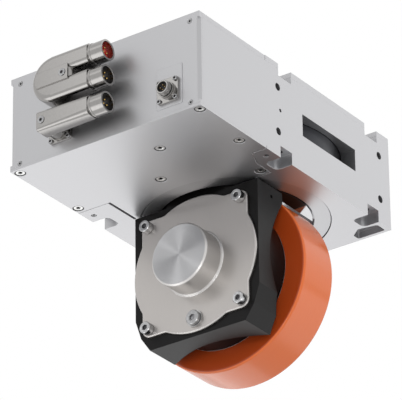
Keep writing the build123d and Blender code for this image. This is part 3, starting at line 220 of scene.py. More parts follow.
# %% Grid to mesh
def surface(name, points, body=None, closed=True, sharp=None):
    """A mesh object from a (k, m, n, 3) stack of k grids in metres, or from one (m, n, 3) grid.

    In its UV map u runs from 0 to 1 along m and v along n. Edges sharper than the angle sharp, in
    degrees, stay sharp.
    """
    points = points.reshape(-1, *points.shape[-3:])
    k, m, n = points.shape[:3]
    index = np.arange(k * m * n).reshape(k, m, n)
    corners = [index[:, :-1, :-1], index[:, 1:, :-1], index[:, 1:, 1:], index[:, :-1, 1:]]
    quads = np.stack(corners, -1).reshape(-1, 4)
    _, u, v = np.meshgrid(np.arange(k), np.linspace(0, 1, m), np.linspace(0, 1, n), indexing="ij")
    mesh = bpy.data.meshes.new(name)
    mesh.vertices.add(k * m * n)
    mesh.vertices.foreach_set("co", points.reshape(-1).astype(np.float32))
    mesh.loops.add(quads.size)
    mesh.loops.foreach_set("vertex_index", quads.reshape(-1).astype(np.int32))
    mesh.polygons.add(len(quads))
    mesh.polygons.foreach_set("loop_start", np.arange(0, quads.size, 4, dtype=np.int32))
    mesh.update(calc_edges=True)
    chart = mesh.uv_layers.new(name="turning")
    laid = np.stack([u.reshape(-1), v.reshape(-1)], -1)[quads.reshape(-1)]
    chart.data.foreach_set("uv", laid.reshape(-1).astype(np.float32))
    work = bmesh.new()
    work.from_mesh(mesh)
    bmesh.ops.remove_doubles(work, verts=work.verts, dist=1e-7)
    bmesh.ops.dissolve_degenerate(work, edges=work.edges, dist=1e-8)
    if closed:
        bmesh.ops.recalc_face_normals(work, faces=work.faces)
    work.to_mesh(mesh)
    work.free()
    mesh.polygons.foreach_set("use_smooth", np.ones(len(mesh.polygons), dtype=bool))
    if sharp:
        mesh.set_sharp_from_angle(angle=math.radians(sharp))
    piece = bpy.data.objects.new(name, mesh)
    bpy.context.collection.objects.link(piece)
    if body:
        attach(piece, body)
    print(name, "faces:", len(mesh.polygons))
    return piece


# %% [markdown]
# ## The floor
# A pale round sheet lies half a millimetre under the wheel, so that the two never touch. It is round
# because its edge then fades out evenly on all sides.

# %% Floor
def disc(height, reach):
    """A round sheet in metres: points (r cos t, r sin t, height), with r from 0 to reach."""
    r, t = np.meshgrid(np.linspace(0, reach, 5), np.linspace(0, 2 * np.pi, 49), indexing="ij")
    return np.stack([r * np.cos(t), r * np.sin(t), np.full_like(r, height)], -1)


floor_height = cad_box[0][2] - 0.5 * MM
floor = surface("studio_floor", disc(floor_height, reach=1.6), closed=False)
print("floor at", round(floor_height / MM, 1), "mm")

# %% [markdown]
# ## How a finish is built
# Every finish starts as one shader with constant values. A pattern then moves its colour between two
# tones, its roughness between two values, and its surface by a few hundredths of a millimetre at
# most. Most parts also get their sharp edges rounded by a small radius, which is what makes edges
# glint, and on the stainless steel the edges also get a painted highlight.

# %% Finish helpers
def finish(name, values):
    """A material with one shader whose sockets take these constant values."""
    made = bpy.data.materials.new(name)
    made.use_nodes = True
    shader = made.node_tree.nodes["Principled BSDF"]
    for key, value in values.items():
        shader.inputs[key].default_value = value
    print("finish:", name)
    return made, made.node_tree, shader


def work_surface(tree, shader, pattern, tones, roughness, depth, edge=0.0, glint=None):
    """Drive colour, roughness and relief with one pattern from 0 to 1. depth and edge are in mm.

    With a glint, (colour, roughness), the edges get a painted highlight and are polished: their colour
    goes over to the glint's pale colour and their roughness to its roughness where the rounded normal
    leans 13 to 31 degrees away from the flat one. The cosine of the lean is their dot product.
    """
    dark, pale = colour(tones[0]), colour(tones[1])
    low, high = roughness
    mixed = add(tree, "Mix", {0: pattern, 6: dark, 7: pale}, data_type="RGBA").outputs[2]
    rough = add(tree, "MapRange", {"Value": pattern, "To Min": low, "To Max": high}).outputs[0]
    relief = add(tree, "Bump", {"Height": pattern, "Distance": depth * MM, "Strength": 1.0})
    if edge:
        broken = add(tree, "Bevel", {"Radius": edge * MM}, samples=6)
        tree.links.new(broken.outputs[0], relief.inputs["Normal"])
    if glint:
        cosine_13, cosine_31 = 0.975, 0.86
        flat = add(tree, "NewGeometry").outputs["True Normal"]
        lean = add(tree, "VectorMath", {0: broken.outputs[0], 1: flat}, operation="DOT_PRODUCT")
        reach = {"Value": lean.outputs["Value"], "From Min": cosine_13, "From Max": cosine_31}
        # Painted highlight: at the edges the colour goes over to the glint's pale colour.
        painted_glint_mask = add(tree, "MapRange", reach).outputs[0]
        mixed = add(tree, "Mix", {0: painted_glint_mask, 6: mixed, 7: colour(glint[0])}, data_type="RGBA").outputs[2]
        rough = add(tree, "Mix", {0: painted_glint_mask, 2: rough, 3: glint[1]}, data_type="FLOAT").outputs[0]
    tree.links.new(mixed, shader.inputs["Base Color"])
    tree.links.new(rough, shader.inputs["Roughness"])
    tree.links.new(relief.outputs[0], shader.inputs["Normal"])


def grain(tree, across, along=None, axis=Z, detail=2.0):
    """Noise with grains of a real size in mm, stretched to another size along an axis if one is given."""
    place = add(tree, "TexCoord").outputs["Object"]
    scale = [1 / (across * MM)] * 3
    if along:
        scale[axis] = 1 / (along * MM)
    laid = add(tree, "Mapping", {"Vector": place, "Scale": scale})
    noise = {"Vector": laid.outputs[0], "Scale": 1.0, "Detail": detail}
    return add(tree, "TexNoise", noise).outputs["Fac"]


# %% [markdown]
# ## Anodised aluminium, milled and fine-blasted
# The housing and its covers are milled from plate, blasted with fine glass beads and clear anodised.
# Blasting leaves a dull, even satin, so the surface reflects only soft gradients. A picture of such
# metal could be laid on it, but noise in real millimetres runs over every part without a seam. The
# real grain is about 0.05 mm and would not show, so it is drawn 0.5 mm coarse and very shallow.

# %% Anodised aluminium
finishes = {}
satin, tree, shader = finish("anodised_aluminium", {"Metallic": 1.0, "Roughness": 0.42})
work_surface(tree, shader, grain(tree, 0.5), ("#b1b1b3", "#b8b8ba"), (0.40, 0.46), depth=0.003, edge=0.6)
finishes["anodised_aluminium"] = satin

# %% [markdown]
# ## Turned aluminium
# The turntable is faced on a lathe, and its tool lines are closed circles round the steering axis.
# The feed is about 0.3 mm per turn and is drawn at 0.9 mm so that the circles show. The ring is
# blasted like the housing, so its lines are faint. The plates inside it keep the bright tool finish,
# out to a radius of 81 mm. Two helpers give the distance from an axis and the circles round it, and
# the wheel and the cover's boss use them as well.

# %% Turned aluminium
ORIGIN = (0, 0, 0)


def distance(tree, centre, axis):
    """Distance in metres from the line through centre along an axis, X, Y or Z."""
    place = add(tree, "TexCoord").outputs["Object"]
    moved = add(tree, "Mapping", {"Vector": place, "Location": [-c for c in centre]})
    across = [float(other != axis) for other in (X, Y, Z)]
    flat = add(tree, "VectorMath", {0: moved.outputs[0], 1: across}, operation="MULTIPLY")
    return add(tree, "VectorMath", {0: flat.outputs[0]}, operation="LENGTH").outputs["Value"]


def turned(tree, centre, axis, pitch):
    """Tool lines round an axis: noise of the two numbers that a lathe tool moves in, radius and depth."""
    place = add(tree, "SeparateXYZ", {0: add(tree, "TexCoord").outputs["Object"]})
    tool = add(tree, "CombineXYZ", {0: distance(tree, centre, axis), 1: place.outputs[axis]})
    lines = {"Vector": tool.outputs[0], "Scale": 1 / (pitch * MM), "Detail": 3.0}
    return add(tree, "TexNoise", lines, noise_dimensions="2D").outputs["Fac"]


bright, tree, shader = finish("turned_aluminium", {"Metallic": 1.0, "Roughness": 0.4})
circles = turned(tree, ORIGIN, Z, pitch=0.9)
work_surface(tree, shader, circles, ("#a6a6a8", "#b0b0b2"), (0.38, 0.44), depth=0.004, edge=0.5)
blasted = shader.inputs["Roughness"].links[0].from_socket
border = {"From Min": 80.6 * MM, "From Max": 81 * MM}
outside = add(tree, "MapRange", {"Value": distance(tree, ORIGIN, Z), **border}).outputs[0]
worked = add(tree, "Mix", {0: outside, 2: 0.14, 3: blasted}, data_type="FLOAT")
tree.links.new(worked.outputs[0], shader.inputs["Roughness"])
finishes["turned_aluminium"] = bright

# %% [markdown]
# ## The rim
# The wheel's rim is turned from cast aluminium, round the axle. It is left as the tool leaves it,
# with clear circles about 0.7 mm apart, so it is brighter than the blasted parts and has narrower
# highlights.

# %% Wheel aluminium
low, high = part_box("tyre")
axle_height = (low[2] + high[2]) / 2
axle = (0, 0, axle_height)
print("axle at", round(axle_height / MM, 1), "mm")
rim, tree, shader = finish("wheel_aluminium", {"Metallic": 1.0, "Roughness": 0.32})
circles = turned(tree, axle, Y, pitch=0.7)
work_surface(tree, shader, circles, ("#aeaeb0", "#c6c6c8"), (0.28, 0.38), depth=0.008, edge=0.3)
finishes["wheel_aluminium"] = rim

# %% [markdown]
# ## Stainless steel, brushed
# The cover plate of the gearbox is cut from stainless steel. It looks a little warmer and darker than
# the aluminium. Brushing leaves long fine scratches, here 0.4 mm wide and 20 mm long, up and down the
# plate. Its edges are polished and get a painted highlight, a near-white colour. The side of the boss
# is turned, and it is all that stands in front of the plate within 42 mm of the axle. It gets painted
# light, a lighter tone, since it mirrors the plate's shade and would look dark.

# %% Stainless steel
stainless, tree, shader = finish("stainless_steel", {"Metallic": 1.0, "Roughness": 0.36})
scratches = grain(tree, 0.4, 20, detail=3.0)
# The edges get a painted highlight, a near-white colour, and a lower roughness.
tones, polish_and_glint = ("#aeaaa7", "#b7b3b0"), ("#f6f5f4", 0.2)
work_surface(tree, shader, scratches, tones, (0.30, 0.38), depth=0.002, edge=1.2, glint=polish_and_glint)
brushed = shader.inputs["Base Color"].links[0].from_socket
cover_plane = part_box("plug_washer")[1][1] / MM
base, top = (cover_plane - 0.3) * MM, (cover_plane - 0.8) * MM
depth = add(tree, "SeparateXYZ", {0: add(tree, "TexCoord").outputs["Object"]}).outputs["Y"]
stands = add(tree, "MapRange", {"Value": depth, "From Min": base, "From Max": top}).outputs[0]
root = {"From Min": 42 * MM, "From Max": 41 * MM}
near = add(tree, "MapRange", {"Value": distance(tree, axle, Y), **root}).outputs[0]
on_boss = add(tree, "Math", {0: stands, 1: near}, operation="MULTIPLY").outputs[0]
# Painted light: the boss side gets a lighter tone.
painted_boss_light = add(tree, "Mix", {0: on_boss, 6: brushed, 7: colour("#cbc9c7")}, data_type="RGBA").outputs[2]
tree.links.new(painted_boss_light, shader.inputs["Base Color"])
finishes["stainless_steel"] = stainless

# %% [markdown]
# ## Black paint on a casting
# The gearbox housing is an aluminium casting in satin black paint. Sand leaves a skin of small bumps,
# about 0.8 mm across, which the paint softens. Paint is not a metal: it keeps a dark colour and a
# pale, broad sheen.

# %% Cast and painted
cast, tree, shader = finish("black_casting", {"Roughness": 0.4, "Specular IOR Level": 0.14})
skin = add(tree, "Math", {0: grain(tree, 0.8), 1: grain(tree, 7.0)}, operation="MULTIPLY").outputs[0]
work_surface(tree, shader, skin, ("#0b0a0a", "#151414"), (0.3, 0.44), depth=0.05, edge=0.8)
finishes["black_casting"] = cast

# %% [markdown]
# ## Polyurethane
# The tyre is cast polyurethane, a dense, slightly translucent plastic, so a little light goes into it
# and comes back redder. Its sides get painted shade, a darker tone, as they lie in the shade of the
# gearbox, and the tread gets painted light, a paler tone. The change follows the distance from the
# axle, and the tread is a little smoother. Fine circles run over both, because the mould was turned as
# well.

# %% Polyurethane
soft = {"Subsurface Weight": 0.1, "Subsurface Radius": (0.004, 0.0012, 0.0004), "Subsurface Scale": 1.0}
tread, tree, shader = finish("polyurethane", {"Specular IOR Level": 0.4, **soft})
shoulder = {"From Min": 98.2 * MM, "From Max": 98.9 * MM}
on_tread = add(tree, "MapRange", {"Value": distance(tree, axle, Y), **shoulder}).outputs[0]
circles = turned(tree, axle, Y, pitch=0.8)
# Painted light and shade: the sides get a darker tone and the tread a paler one.
shaded_side_tones, lit_tread_tones = ("#963912", "#a14018"), ("#cc602a", "#d66e36")
painted_side_shade, painted_tread_light = [
    add(tree, "Mix", {0: circles, 6: colour(dark), 7: colour(pale)}, data_type="RGBA").outputs[2]
    for dark, pale in (shaded_side_tones, lit_tread_tones)
]
lit_and_shaded_tyre = add(tree, "Mix", {0: on_tread, 6: painted_side_shade, 7: painted_tread_light}, data_type="RGBA")
rough = add(tree, "MapRange", {"Value": on_tread, "To Min": 0.3, "To Max": 0.2})
lines = add(tree, "Bump", {"Height": circles, "Distance": 0.015 * MM, "Strength": 1.0})
tree.links.new(lit_and_shaded_tyre.outputs[2], shader.inputs["Base Color"])
tree.links.new(rough.outputs[0], shader.inputs["Roughness"])
tree.links.new(lines.outputs[0], shader.inputs["Normal"])
finishes["polyurethane"] = tread

# %% [markdown]
# ## Steels
# Blackened steel is for the steering ring, zinc-plated steel for screws, and ground steel for gears
# and bearings. All are metals, so only their tint, roughness and grain differ, and one loop makes
# them from a short list. All but the screws have a grain that is long in one direction, as the
# grinding wheel or the lathe leaves it.

# %% Steels
steels = {
    "dark_steel": (("#343538", "#404145"), (0.3, 0.42), 0.7, 6.0),
    "screw_steel": (("#a5a4a3", "#b9b8b7"), (0.28, 0.36), 0.6, None),
    "gear_steel": (("#8c8c8e", "#9c9c9e"), (0.22, 0.32), 0.4, 5.0),
    "bearing_steel": (("#b0b0b3", "#bcbcbf"), (0.16, 0.24), 0.4, 5.0),
}
for name, (tones, roughness, across, along) in steels.items():
    steel, tree, shader = finish(name, {"Metallic": 1.0})
    work_surface(tree, shader, grain(tree, across, along), tones, roughness, depth=0.002, edge=0.2)
    finishes[name] = steel

# %% [markdown]
# ## Connectors
# The connector shells are die-cast and nickel-plated, which makes them a warm grey that mirrors more
# sharply than the anodised housing. Their inserts are moulded plastic, one red and the others black,
# and the pins are gold-plated brass. The rubber seals, the motors' paint and the circuit board inside
# follow the plastics' recipe with other tones and grains.

# %% Nickel, plastics and gold
nickel, tree, shader = finish("nickel", {"Metallic": 1.0, "Roughness": 0.28})
work_surface(tree, shader, grain(tree, 3.0), ("#959391", "#9d9b99"), (0.14, 0.2), depth=0.002, edge=0.6)
finishes["nickel"] = nickel
plastics = {
    "red_insert": (("#b0281f", "#bd3228"), (0.36, 0.44), 1.0, 0.006),
    "black_insert": (("#1b1a1b", "#242325"), (0.36, 0.46), 1.0, 0.006),
    "seal_rubber": (("#191918", "#222120"), (0.55, 0.68), 0.9, 0.02),
    "motor_paint": (("#1b1b1e", "#26262a"), (0.3, 0.4), 1.8, 0.02),
    "circuit_board": (("#0d3d20", "#155a30"), (0.3, 0.4), 2.2, 0.01),
}
for name, (tones, roughness, across, depth) in plastics.items():
    plastic, tree, shader = finish(name, {"Metallic": 0.0})
    work_surface(tree, shader, grain(tree, across), tones, roughness, depth, edge=0.2)
    finishes[name] = plastic
gold, tree, shader = finish("gold_pins", {"Metallic": 1.0, "Roughness": 0.24})
work_surface(tree, shader, grain(tree, 0.5), ("#d2ad62", "#e0c07c"), (0.2, 0.28), depth=0.001)
finishes["gold_pins"] = gold

# %% [markdown]
# ## Dress the parts
# Each part from CAD brings the name of its finish with it. The finishes could be set part by part,
# but a loop over those names misses none. The turntable is the one part whose finish differs from its
# neighbours of the same metal, because its tool lines are circles.

# %% Give every part its finish
for name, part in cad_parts.items():
    for place in part.material_slots:
        wanted = place.material.name.split(".")[0]
        place.material = finishes["turned_aluminium" if name == "turntable" else wanted]
print("finishes:", len(finishes))

# %% [markdown]
# ## Floor finish
# The floor is matt and pale. It fades out with the distance from the unit, so that no horizon shows,
# and it shows from above only, because the photograph is taken from below. It throws no light back at
# the unit.

# %% Floor finish
pale, tree, shader = finish("studio_floor", {"Roughness": 0.8, "Specular IOR Level": 0.2})
far = add(tree, "MapRange", {"Value": distance(tree, ORIGIN, Z), "From Min": 0.35, "From Max": 1.4})
fade = add(tree, "Math", {0: 1.0, 1: far.outputs[0]}, operation="SUBTRACT")
under = add(tree, "NewGeometry")
above = add(tree, "Math", {0: 1.0, 1: under.outputs["Backfacing"]}, operation="SUBTRACT")
shown = add(tree, "Math", {0: fade.outputs[0], 1: above.outputs[0]}, operation="MULTIPLY")
tree.links.new(shown.outputs[0], shader.inputs["Alpha"])
work_surface(tree, shader, grain(tree, 4), ("#e9e9e8", "#ececeb"), (0.75, 0.85), depth=0.01)
floor.data.materials.append(pale)
for way in ("visible_diffuse", "visible_glossy", "visible_transmission", "visible_shadow"):
    setattr(floor, way, False)

# %% [markdown]
# ## Turned boss of the cover
# The round boss in the middle of the gearbox cover was faced on a lathe, and it shows the bright and
# dark wedges of a pan bottom. They come from very fine circles, so the piece gets a UV map that runs
# round the boss, and a shader that stretches its highlight across the circles. One function turns any
# profile round an axis along X or Y, and the pins and collars further down use it too.

# %% Boss face
def turnings(centres, axis, profile, steps=96):
    """Grids in metres: a profile of (radius, place) in mm, turned round X or Y through each centre.

    With t from 0 to 360 degrees the points round Y are (x + r cos t, y + place, z + r sin t), and round
    X they are (x + place, y + r cos t, z + r sin t).
    """
    r, along = np.asarray(profile, float).T
    t = np.linspace(0, 2 * np.pi, steps + 1)[:, None]
    along = np.broadcast_to(along, (steps + 1, len(r)))
    order = {X: [along, r * np.cos(t), r * np.sin(t)], Y: [r * np.cos(t), along, r * np.sin(t)]}
    return (np.stack(order[axis], -1) + np.asarray(centres, float)[:, None, None]) * MM


axle_mm = axle_height / MM
boss_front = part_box("gearbox_cover")[0][1] / MM
face_radius, skim = 33, 0.06
front = [(r, -skim) for r in (0, 12, 24, face_radius)]
face = [(0, 0)] + front + [(face_radius + 0.1, 0), (0, 0)]
turned_face = turnings([(0, boss_front, axle_mm)], Y, face)
boss_face = surface("boss_face", turned_face, "turntable")
pan_bottom = {"Metallic": 1.0, "Anisotropic": 0.96, "Anisotropic Rotation": 0.25}
lathed, tree, shader = finish("turned_stainless", pan_bottom)
run = add(tree, "Tangent", direction_type="UV_MAP", uv_map="turning")
tree.links.new(run.outputs[0], shader.inputs["Tangent"])
circles = turned(tree, axle, Y, pitch=0.7)
work_surface(tree, shader, circles, ("#c0c0c2", "#cccccd"), (0.5, 0.56), depth=0.002)
boss_face.data.materials.append(lathed)

# %% [markdown]
# ## Screws
# Socket screws hold this unit together, and their dark hexagons are what the eye finds first. A
# hexagon could be cut into each head, but cuts leave untidy faces. Here a head is a lathe profile
# whose last points, those of the socket, follow a hexagon in place of a circle. One function turns
# the profile into a grid and stands a copy of it on every place in a list.

# %% Screw grid
def screws(places, out, profile, knurl=None, steps=144):
    """Grids of screws in metres, from places in mm and profile points (radius, height, hexagon 0 or 1).

    The reach at angle t is r for a round point, and r / cos(((t + 30 deg) mod 60 deg) - 30 deg) for a
    hexagon with flats at distance r. A knurl (low, high, depth) takes depth x (1 - cos 36t) / 2 off the
    side between two heights. The screw is turned so that its height points along out.
    """
    r, height, hexagon = np.asarray(profile, float).T
    t = np.linspace(0, 2 * np.pi, steps + 1)[:, None]
    flats = 1 / np.cos((t + np.pi / 6) % (np.pi / 3) - np.pi / 6)
    reach = r * (1 + hexagon * (flats - 1))
    if knurl:
        low, high, depth = knurl
        side = (height > low) & (height < high) & (hexagon == 0)
        reach = reach - side * depth * (1 - np.cos(36 * t)) / 2
    local = np.stack([reach * np.cos(t), reach * np.sin(t), np.broadcast_to(height, reach.shape)], -1)
    axes = {"down": [[1, 0, 0], [0, -1, 0], [0, 0, -1]], "front": [[1, 0, 0], [0, 0, 1], [0, -1, 0]]}
    return (local @ np.array(axes[out], float) + np.asarray(places, float)[:, None, None]) * MM


def socket(face, flats, depth):
    """The end of a screw profile: a bevelled mouth at height face, then a hexagon with a coned floor."""
    half = flats / 2
    bevel = [(half + 0.15 * flats, face, 0), (half, face - 0.08 * flats, 1)]
    return bevel + [(half, face - depth, 1), (0, face - depth - 0.4, 1)]


# %% [markdown]
# ## Finish of the screws
# The screws are zinc-plated steel, bright and slightly grey. Little light gets into a socket, so the
# finish gets painted shade, a dark colour, where the profile dips into the hexagon. The screw's UV map
# tells where that is, because v runs along the profile.

# %% Screw finish
def mouth(profile):
    """Place of the first hexagon point along a profile, from 0 to 1."""
    return [point[2] for point in profile].index(1) / (len(profile) - 1)


def screw_finish(name, tones, roughness, start, socket_shade="#2f2e2e"):
    """Plated steel with painted shade, a dark colour, where v passes start at the mouth of the socket."""
    plated, tree, shader = finish(name, {"Metallic": 1.0})
    work_surface(tree, shader, grain(tree, 0.5), tones, roughness, depth=0.002, edge=0.15)
    unshaded = shader.inputs["Base Color"].links[0].from_socket
    chart = add(tree, "SeparateXYZ", {0: add(tree, "UVMap", uv_map="turning").outputs[0]})
    reach = {"Value": chart.outputs["Y"], "From Min": start - 0.03, "From Max": start + 0.01}
    inside = add(tree, "MapRange", reach).outputs[0]
    # Painted shade: past the mouth of the socket the colour goes over to a dark one.
    painted_shade = add(tree, "Mix", {0: inside, 6: unshaded, 7: colour(socket_shade)}, data_type="RGBA")
    tree.links.new(painted_shade.outputs[2], shader.inputs["Base Color"])
    return plated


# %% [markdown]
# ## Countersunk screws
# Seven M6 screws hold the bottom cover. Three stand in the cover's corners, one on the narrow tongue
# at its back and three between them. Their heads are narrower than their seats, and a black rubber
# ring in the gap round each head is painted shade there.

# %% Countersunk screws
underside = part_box("bottom_cover")[0][2] / MM
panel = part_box("front_panel")[0][1] / MM
cover_places = [(-113.5, panel + 8.3), (113.5, panel + 8.3), (-113.5, -124.2), (32.9, panel + 51.1)]
cover_places += [(-6.1, -124.8), (106.8, -144.8), (86.3, -78.4)]
seats = [(x, y, underside) for x, y in cover_places]
thread = [(0, -12, 0), (2.6, -12, 0), (2.9, -11.5, 0), (2.9, -2.9, 0)]
cone = [(4.8, -1.2, 0), (5.0, -0.9, 0), (4.8, -0.6, 0)]
flush = thread + cone + socket(-0.6, flats=4, depth=2.2)
m6_grid = screws(seats, "down", flush)
countersunk = surface("countersunk_screws", m6_grid, "housing", sharp=35)
pale_zinc = screw_finish("zinc_countersunk", ("#c6c6c5", "#d0d0cf"), (0.26, 0.34), mouth(flush))
countersunk.data.materials.append(pale_zinc)
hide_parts("bottom_cover_screws")

# %% [markdown]
# ## Rings of painted shade
# A black rubber ring is a torus, a small circle carried round a large one. Blender has a torus of its
# own, but a grid puts all seven rings round the heads of the cover's screws into one mesh. They stand
# for the shade in the gaps round those heads.

# %% Rings of painted shade
def hoops(places, radius, thickness, steps=48):
    """Rings that lie flat, from places in mm: radius R + r cos s at height z + r sin s."""
    s = np.linspace(0, 2 * np.pi, 13)
    t = np.linspace(0, 2 * np.pi, steps + 1)[:, None]
    out = radius + thickness * np.cos(s)
    height = np.broadcast_to(thickness * np.sin(s), (len(t), len(s)))
    local = np.stack([out * np.cos(t), out * np.sin(t), height], -1)
    return (local + np.asarray(places, float)[:, None, None]) * MM


ring_depth = 0.75
ring_places = [(x, y, underside + ring_depth) for x, y in cover_places]
rings = hoops(ring_places, radius=5.6, thickness=0.6)
# Painted shade: black rings in the gaps round the heads.
shade_rings = surface("cover_shade_rings", rings, "housing")
shade_rings.data.materials.append(finishes["seal_rubber"])

# %% [markdown]
# ## Panel screws
# Four small countersunk screws hold the front panel, one in each corner. Their zinc gets a darker tone
# than that of the cover's screws, which is painted shade, as they mirror less light from below. Their
# heads have the same profile at half the size.

# %% Panel screws
small = [(0, -7, 0), (1.5, -7, 0), (1.5, -1.5, 0), (2.7, -0.4, 0), (2.6, -0.2, 0)]
small += socket(-0.2, flats=2, depth=1)
head_radius = 2.9
low, high = [corner[2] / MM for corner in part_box("panel_screws")]
corners = [(x, panel, z) for x in (-108, 108) for z in (low + head_radius, high - head_radius)]
small_grid = screws(corners, "front", small)
panel_heads = surface("panel_screw_heads", small_grid, "housing", sharp=35)
# Painted shade: a darker zinc tone than on the cover's screws.
shaded_zinc = screw_finish("zinc_panel", ("#8e8e8f", "#9a9a9b"), (0.26, 0.34), mouth(small))
panel_heads.data.materials.append(shaded_zinc)
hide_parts("panel_screws")

# %% [markdown]
# ## Cap screws
# A cap head is a cylinder with a bevelled top. Four M8 cap screws hold the gearbox cover, and their
# heads are knurled so that fingers can turn them. The knurl could be a bump pattern, but ripples in
# the grid also show in the outline. One wide plug screw with a washer closes the oil filler, and two
# small screws sit in the lugs.

# %% Cap screws
def cap(radius, height, shank, length, flats):
    """Profile of a cap screw whose head stands on height 0. All its edges are bevelled."""
    bevel = 0.1 * radius
    shaft = [(0, -length, 0), (shank - 0.5, -length, 0), (shank, 0.5 - length, 0), (shank, 0, 0)]
    side = [(radius, z, 0) for z in (bevel, height * 0.5, height - bevel)]
    head = [(radius - bevel, 0, 0)] + side + [(radius - bevel, height, 0)]
    return shaft + head + socket(height, flats, height * 0.45)


# %% Screws of the gearbox cover
offsets = (-58.5, 58.5)
corners = [(x, cover_plane, axle_mm + z) for x in offsets for z in offsets]
m8 = cap(radius=6.5, height=8, shank=4, length=20, flats=5.5)
m8_grid = screws(corners, "front", m8, knurl=(0.7, 7.3, 0.14))
cover_caps = surface("cover_cap_screws", m8_grid, "turntable", sharp=35)
# The last colour is the painted shade in the sockets.
bright_zinc = screw_finish("zinc_cap", ("#a9a9aa", "#b7b7b8"), (0.16, 0.24), mouth(m8), "#848486")
cover_caps.data.materials.append(bright_zinc)
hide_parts("gearbox_cover_screws")

# %% Oil plug
plug = cap(radius=8, height=4.5, shank=5.8, length=11, flats=6)
washer, below_axle = 1.5, 63
plug_grid = screws([(0, cover_plane - washer, axle_mm - below_axle)], "front", plug)
plug_cap = surface("plug_cap", plug_grid, "turntable", sharp=35)
# The last colour is the painted shade in the socket.
plug_zinc = screw_finish("zinc_plug", ("#9a9a9b", "#a8a8a9"), (0.2, 0.28), mouth(plug), "#848486")
plug_cap.data.materials.append(plug_zinc)
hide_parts("plug_screw")

# %% Screws of the lugs
m3_height = 3
m3 = cap(radius=2.75, height=m3_height, shank=1.5, length=12, flats=2.5)
lug_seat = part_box("lug_screws")[0][2] / MM + m3_height
m3_grid = screws([(x, -102, lug_seat) for x in (-109.8, 109.8)], "down", m3)
lug_caps = surface("lug_cap_screws", m3_grid, "housing", sharp=35)
lug_zinc = screw_finish("zinc_lug", ("#8f8f90", "#9c9c9d"), (0.24, 0.32), mouth(m3))
lug_caps.data.materials.append(lug_zinc)
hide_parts("lug_screws")

# %% [markdown]
# ## Screws of the connectors
# Each connector flange has four small cap screws, and the angled connectors have one flat screw each
# in the front, which lets the plug be turned and clamped. Heads of two shapes go into one piece, so
# their two profiles have the same number of points.

# %% Connector screws
round_x, round_z = 81.8, -67.6
flange = panel - 3
flange_places = [(round_x + x, flange, round_z + z) for x in (-10, 10) for z in (-10.5, 10.5)]
flange_places += [(x, flange, z) for x in (-65, -43) for z in (-33, -12, -78.5, -57.5)]
clamp_places = [(-29, panel - 32.5, -22.5), (-56.5, panel - 31, -68)]
small_cap = cap(radius=2.6, height=2, shank=1.5, length=6, flats=2.5)
flat_cap = cap(radius=4.2, height=1.0, shank=2.5, length=5, flats=3.2)
flange_screws = screws(flange_places, "front", small_cap, steps=72)
clamp_screws = screws(clamp_places, "front", flat_cap, steps=72)
heads = np.concatenate([flange_screws, clamp_screws])
connector_heads = surface("connector_screw_heads", heads, "housing", sharp=35)
small_zinc = screw_finish("zinc_small", ("#959596", "#a2a2a3"), (0.2, 0.28), mouth(small_cap))
connector_heads.data.materials.append(small_zinc)
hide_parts("connector_screws")

# %% [markdown]
# ## Contact pins
# Contact pins are turned from brass wire, gold-plated, and rounded at the tip so that they find the
# hole of the plug. A cylinder and half a sphere would do, but one profile, a straight side and a
# quarter circle, leaves no joint between them. Each angled insert has five pins on a circle and one
# in the middle, and the round connector has four.

# %% Pin profile
def pin(radius, length, way=1):
    """Profile of a round-nosed pin that points along the axis, or against it where way is -1.

    On the nose r = R sin s and place = L - R + R cos s, for s from 0 to 90 degrees. The side is
    straight.
    """
    s = np.linspace(0, np.pi / 2, 9)
    nose = np.stack([radius * np.sin(s), way * (length - radius + radius * np.cos(s))], -1)
    return np.concatenate([nose, [[radius, 0], [0, 0]]])


# %% Pins of the angled connectors
five = 2 * np.pi * np.arange(5) / 5
circle = 5.2 * np.stack([np.cos(five), np.sin(five)], -1)
spread = np.concatenate([circle, [(0, 0)]])
insert_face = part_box("connector_insert_1")[1][0] / MM
barrel_y = panel - 20.5
inserts = [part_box("connector_insert_%d" % n) for n in (1, 2, 3)]
barrel_heights = [(low[2] + high[2]) / 2 / MM for low, high in inserts]
roots = [(insert_face - 0.5, barrel_y + a, z + b) for z in barrel_heights for a, b in spread]
pin_grid = turnings(roots, X, pin(radius=1.0, length=4.0), steps=24)
contact_pins = surface("contact_pins", pin_grid, "housing", sharp=50)
contact_pins.data.materials.append(gold)
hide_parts("connector_pins")

# %% Pins of the round connector
spread = [(2.8, 0), (0, 2.8), (-2.8, 0), (0, -2.8)]
round_roots = [(round_x + x, panel - 7.4, round_z + z) for x, z in spread]
round_grid = turnings(round_roots, Y, pin(radius=0.74, length=3.7, way=-1), steps=24)
round_pins = surface("round_connector_pins", round_grid, "housing", sharp=50)
round_pins.data.materials.append(gold)
print("contact pins:", len(roots) + len(round_roots))

# %% [markdown]
# ## Threads
# A thread is a ridge that climbs a cylinder. It could be wound with a modifier, but the grid lets its
# ends run out. The first parameter goes along the helix and the second round the ridge's own three-
# sided section, which shrinks to a point at both ends. Such a thread lines the four mounting holes in
# each side, where its dark tone is painted shade, and goes round the coupling of the round connector.

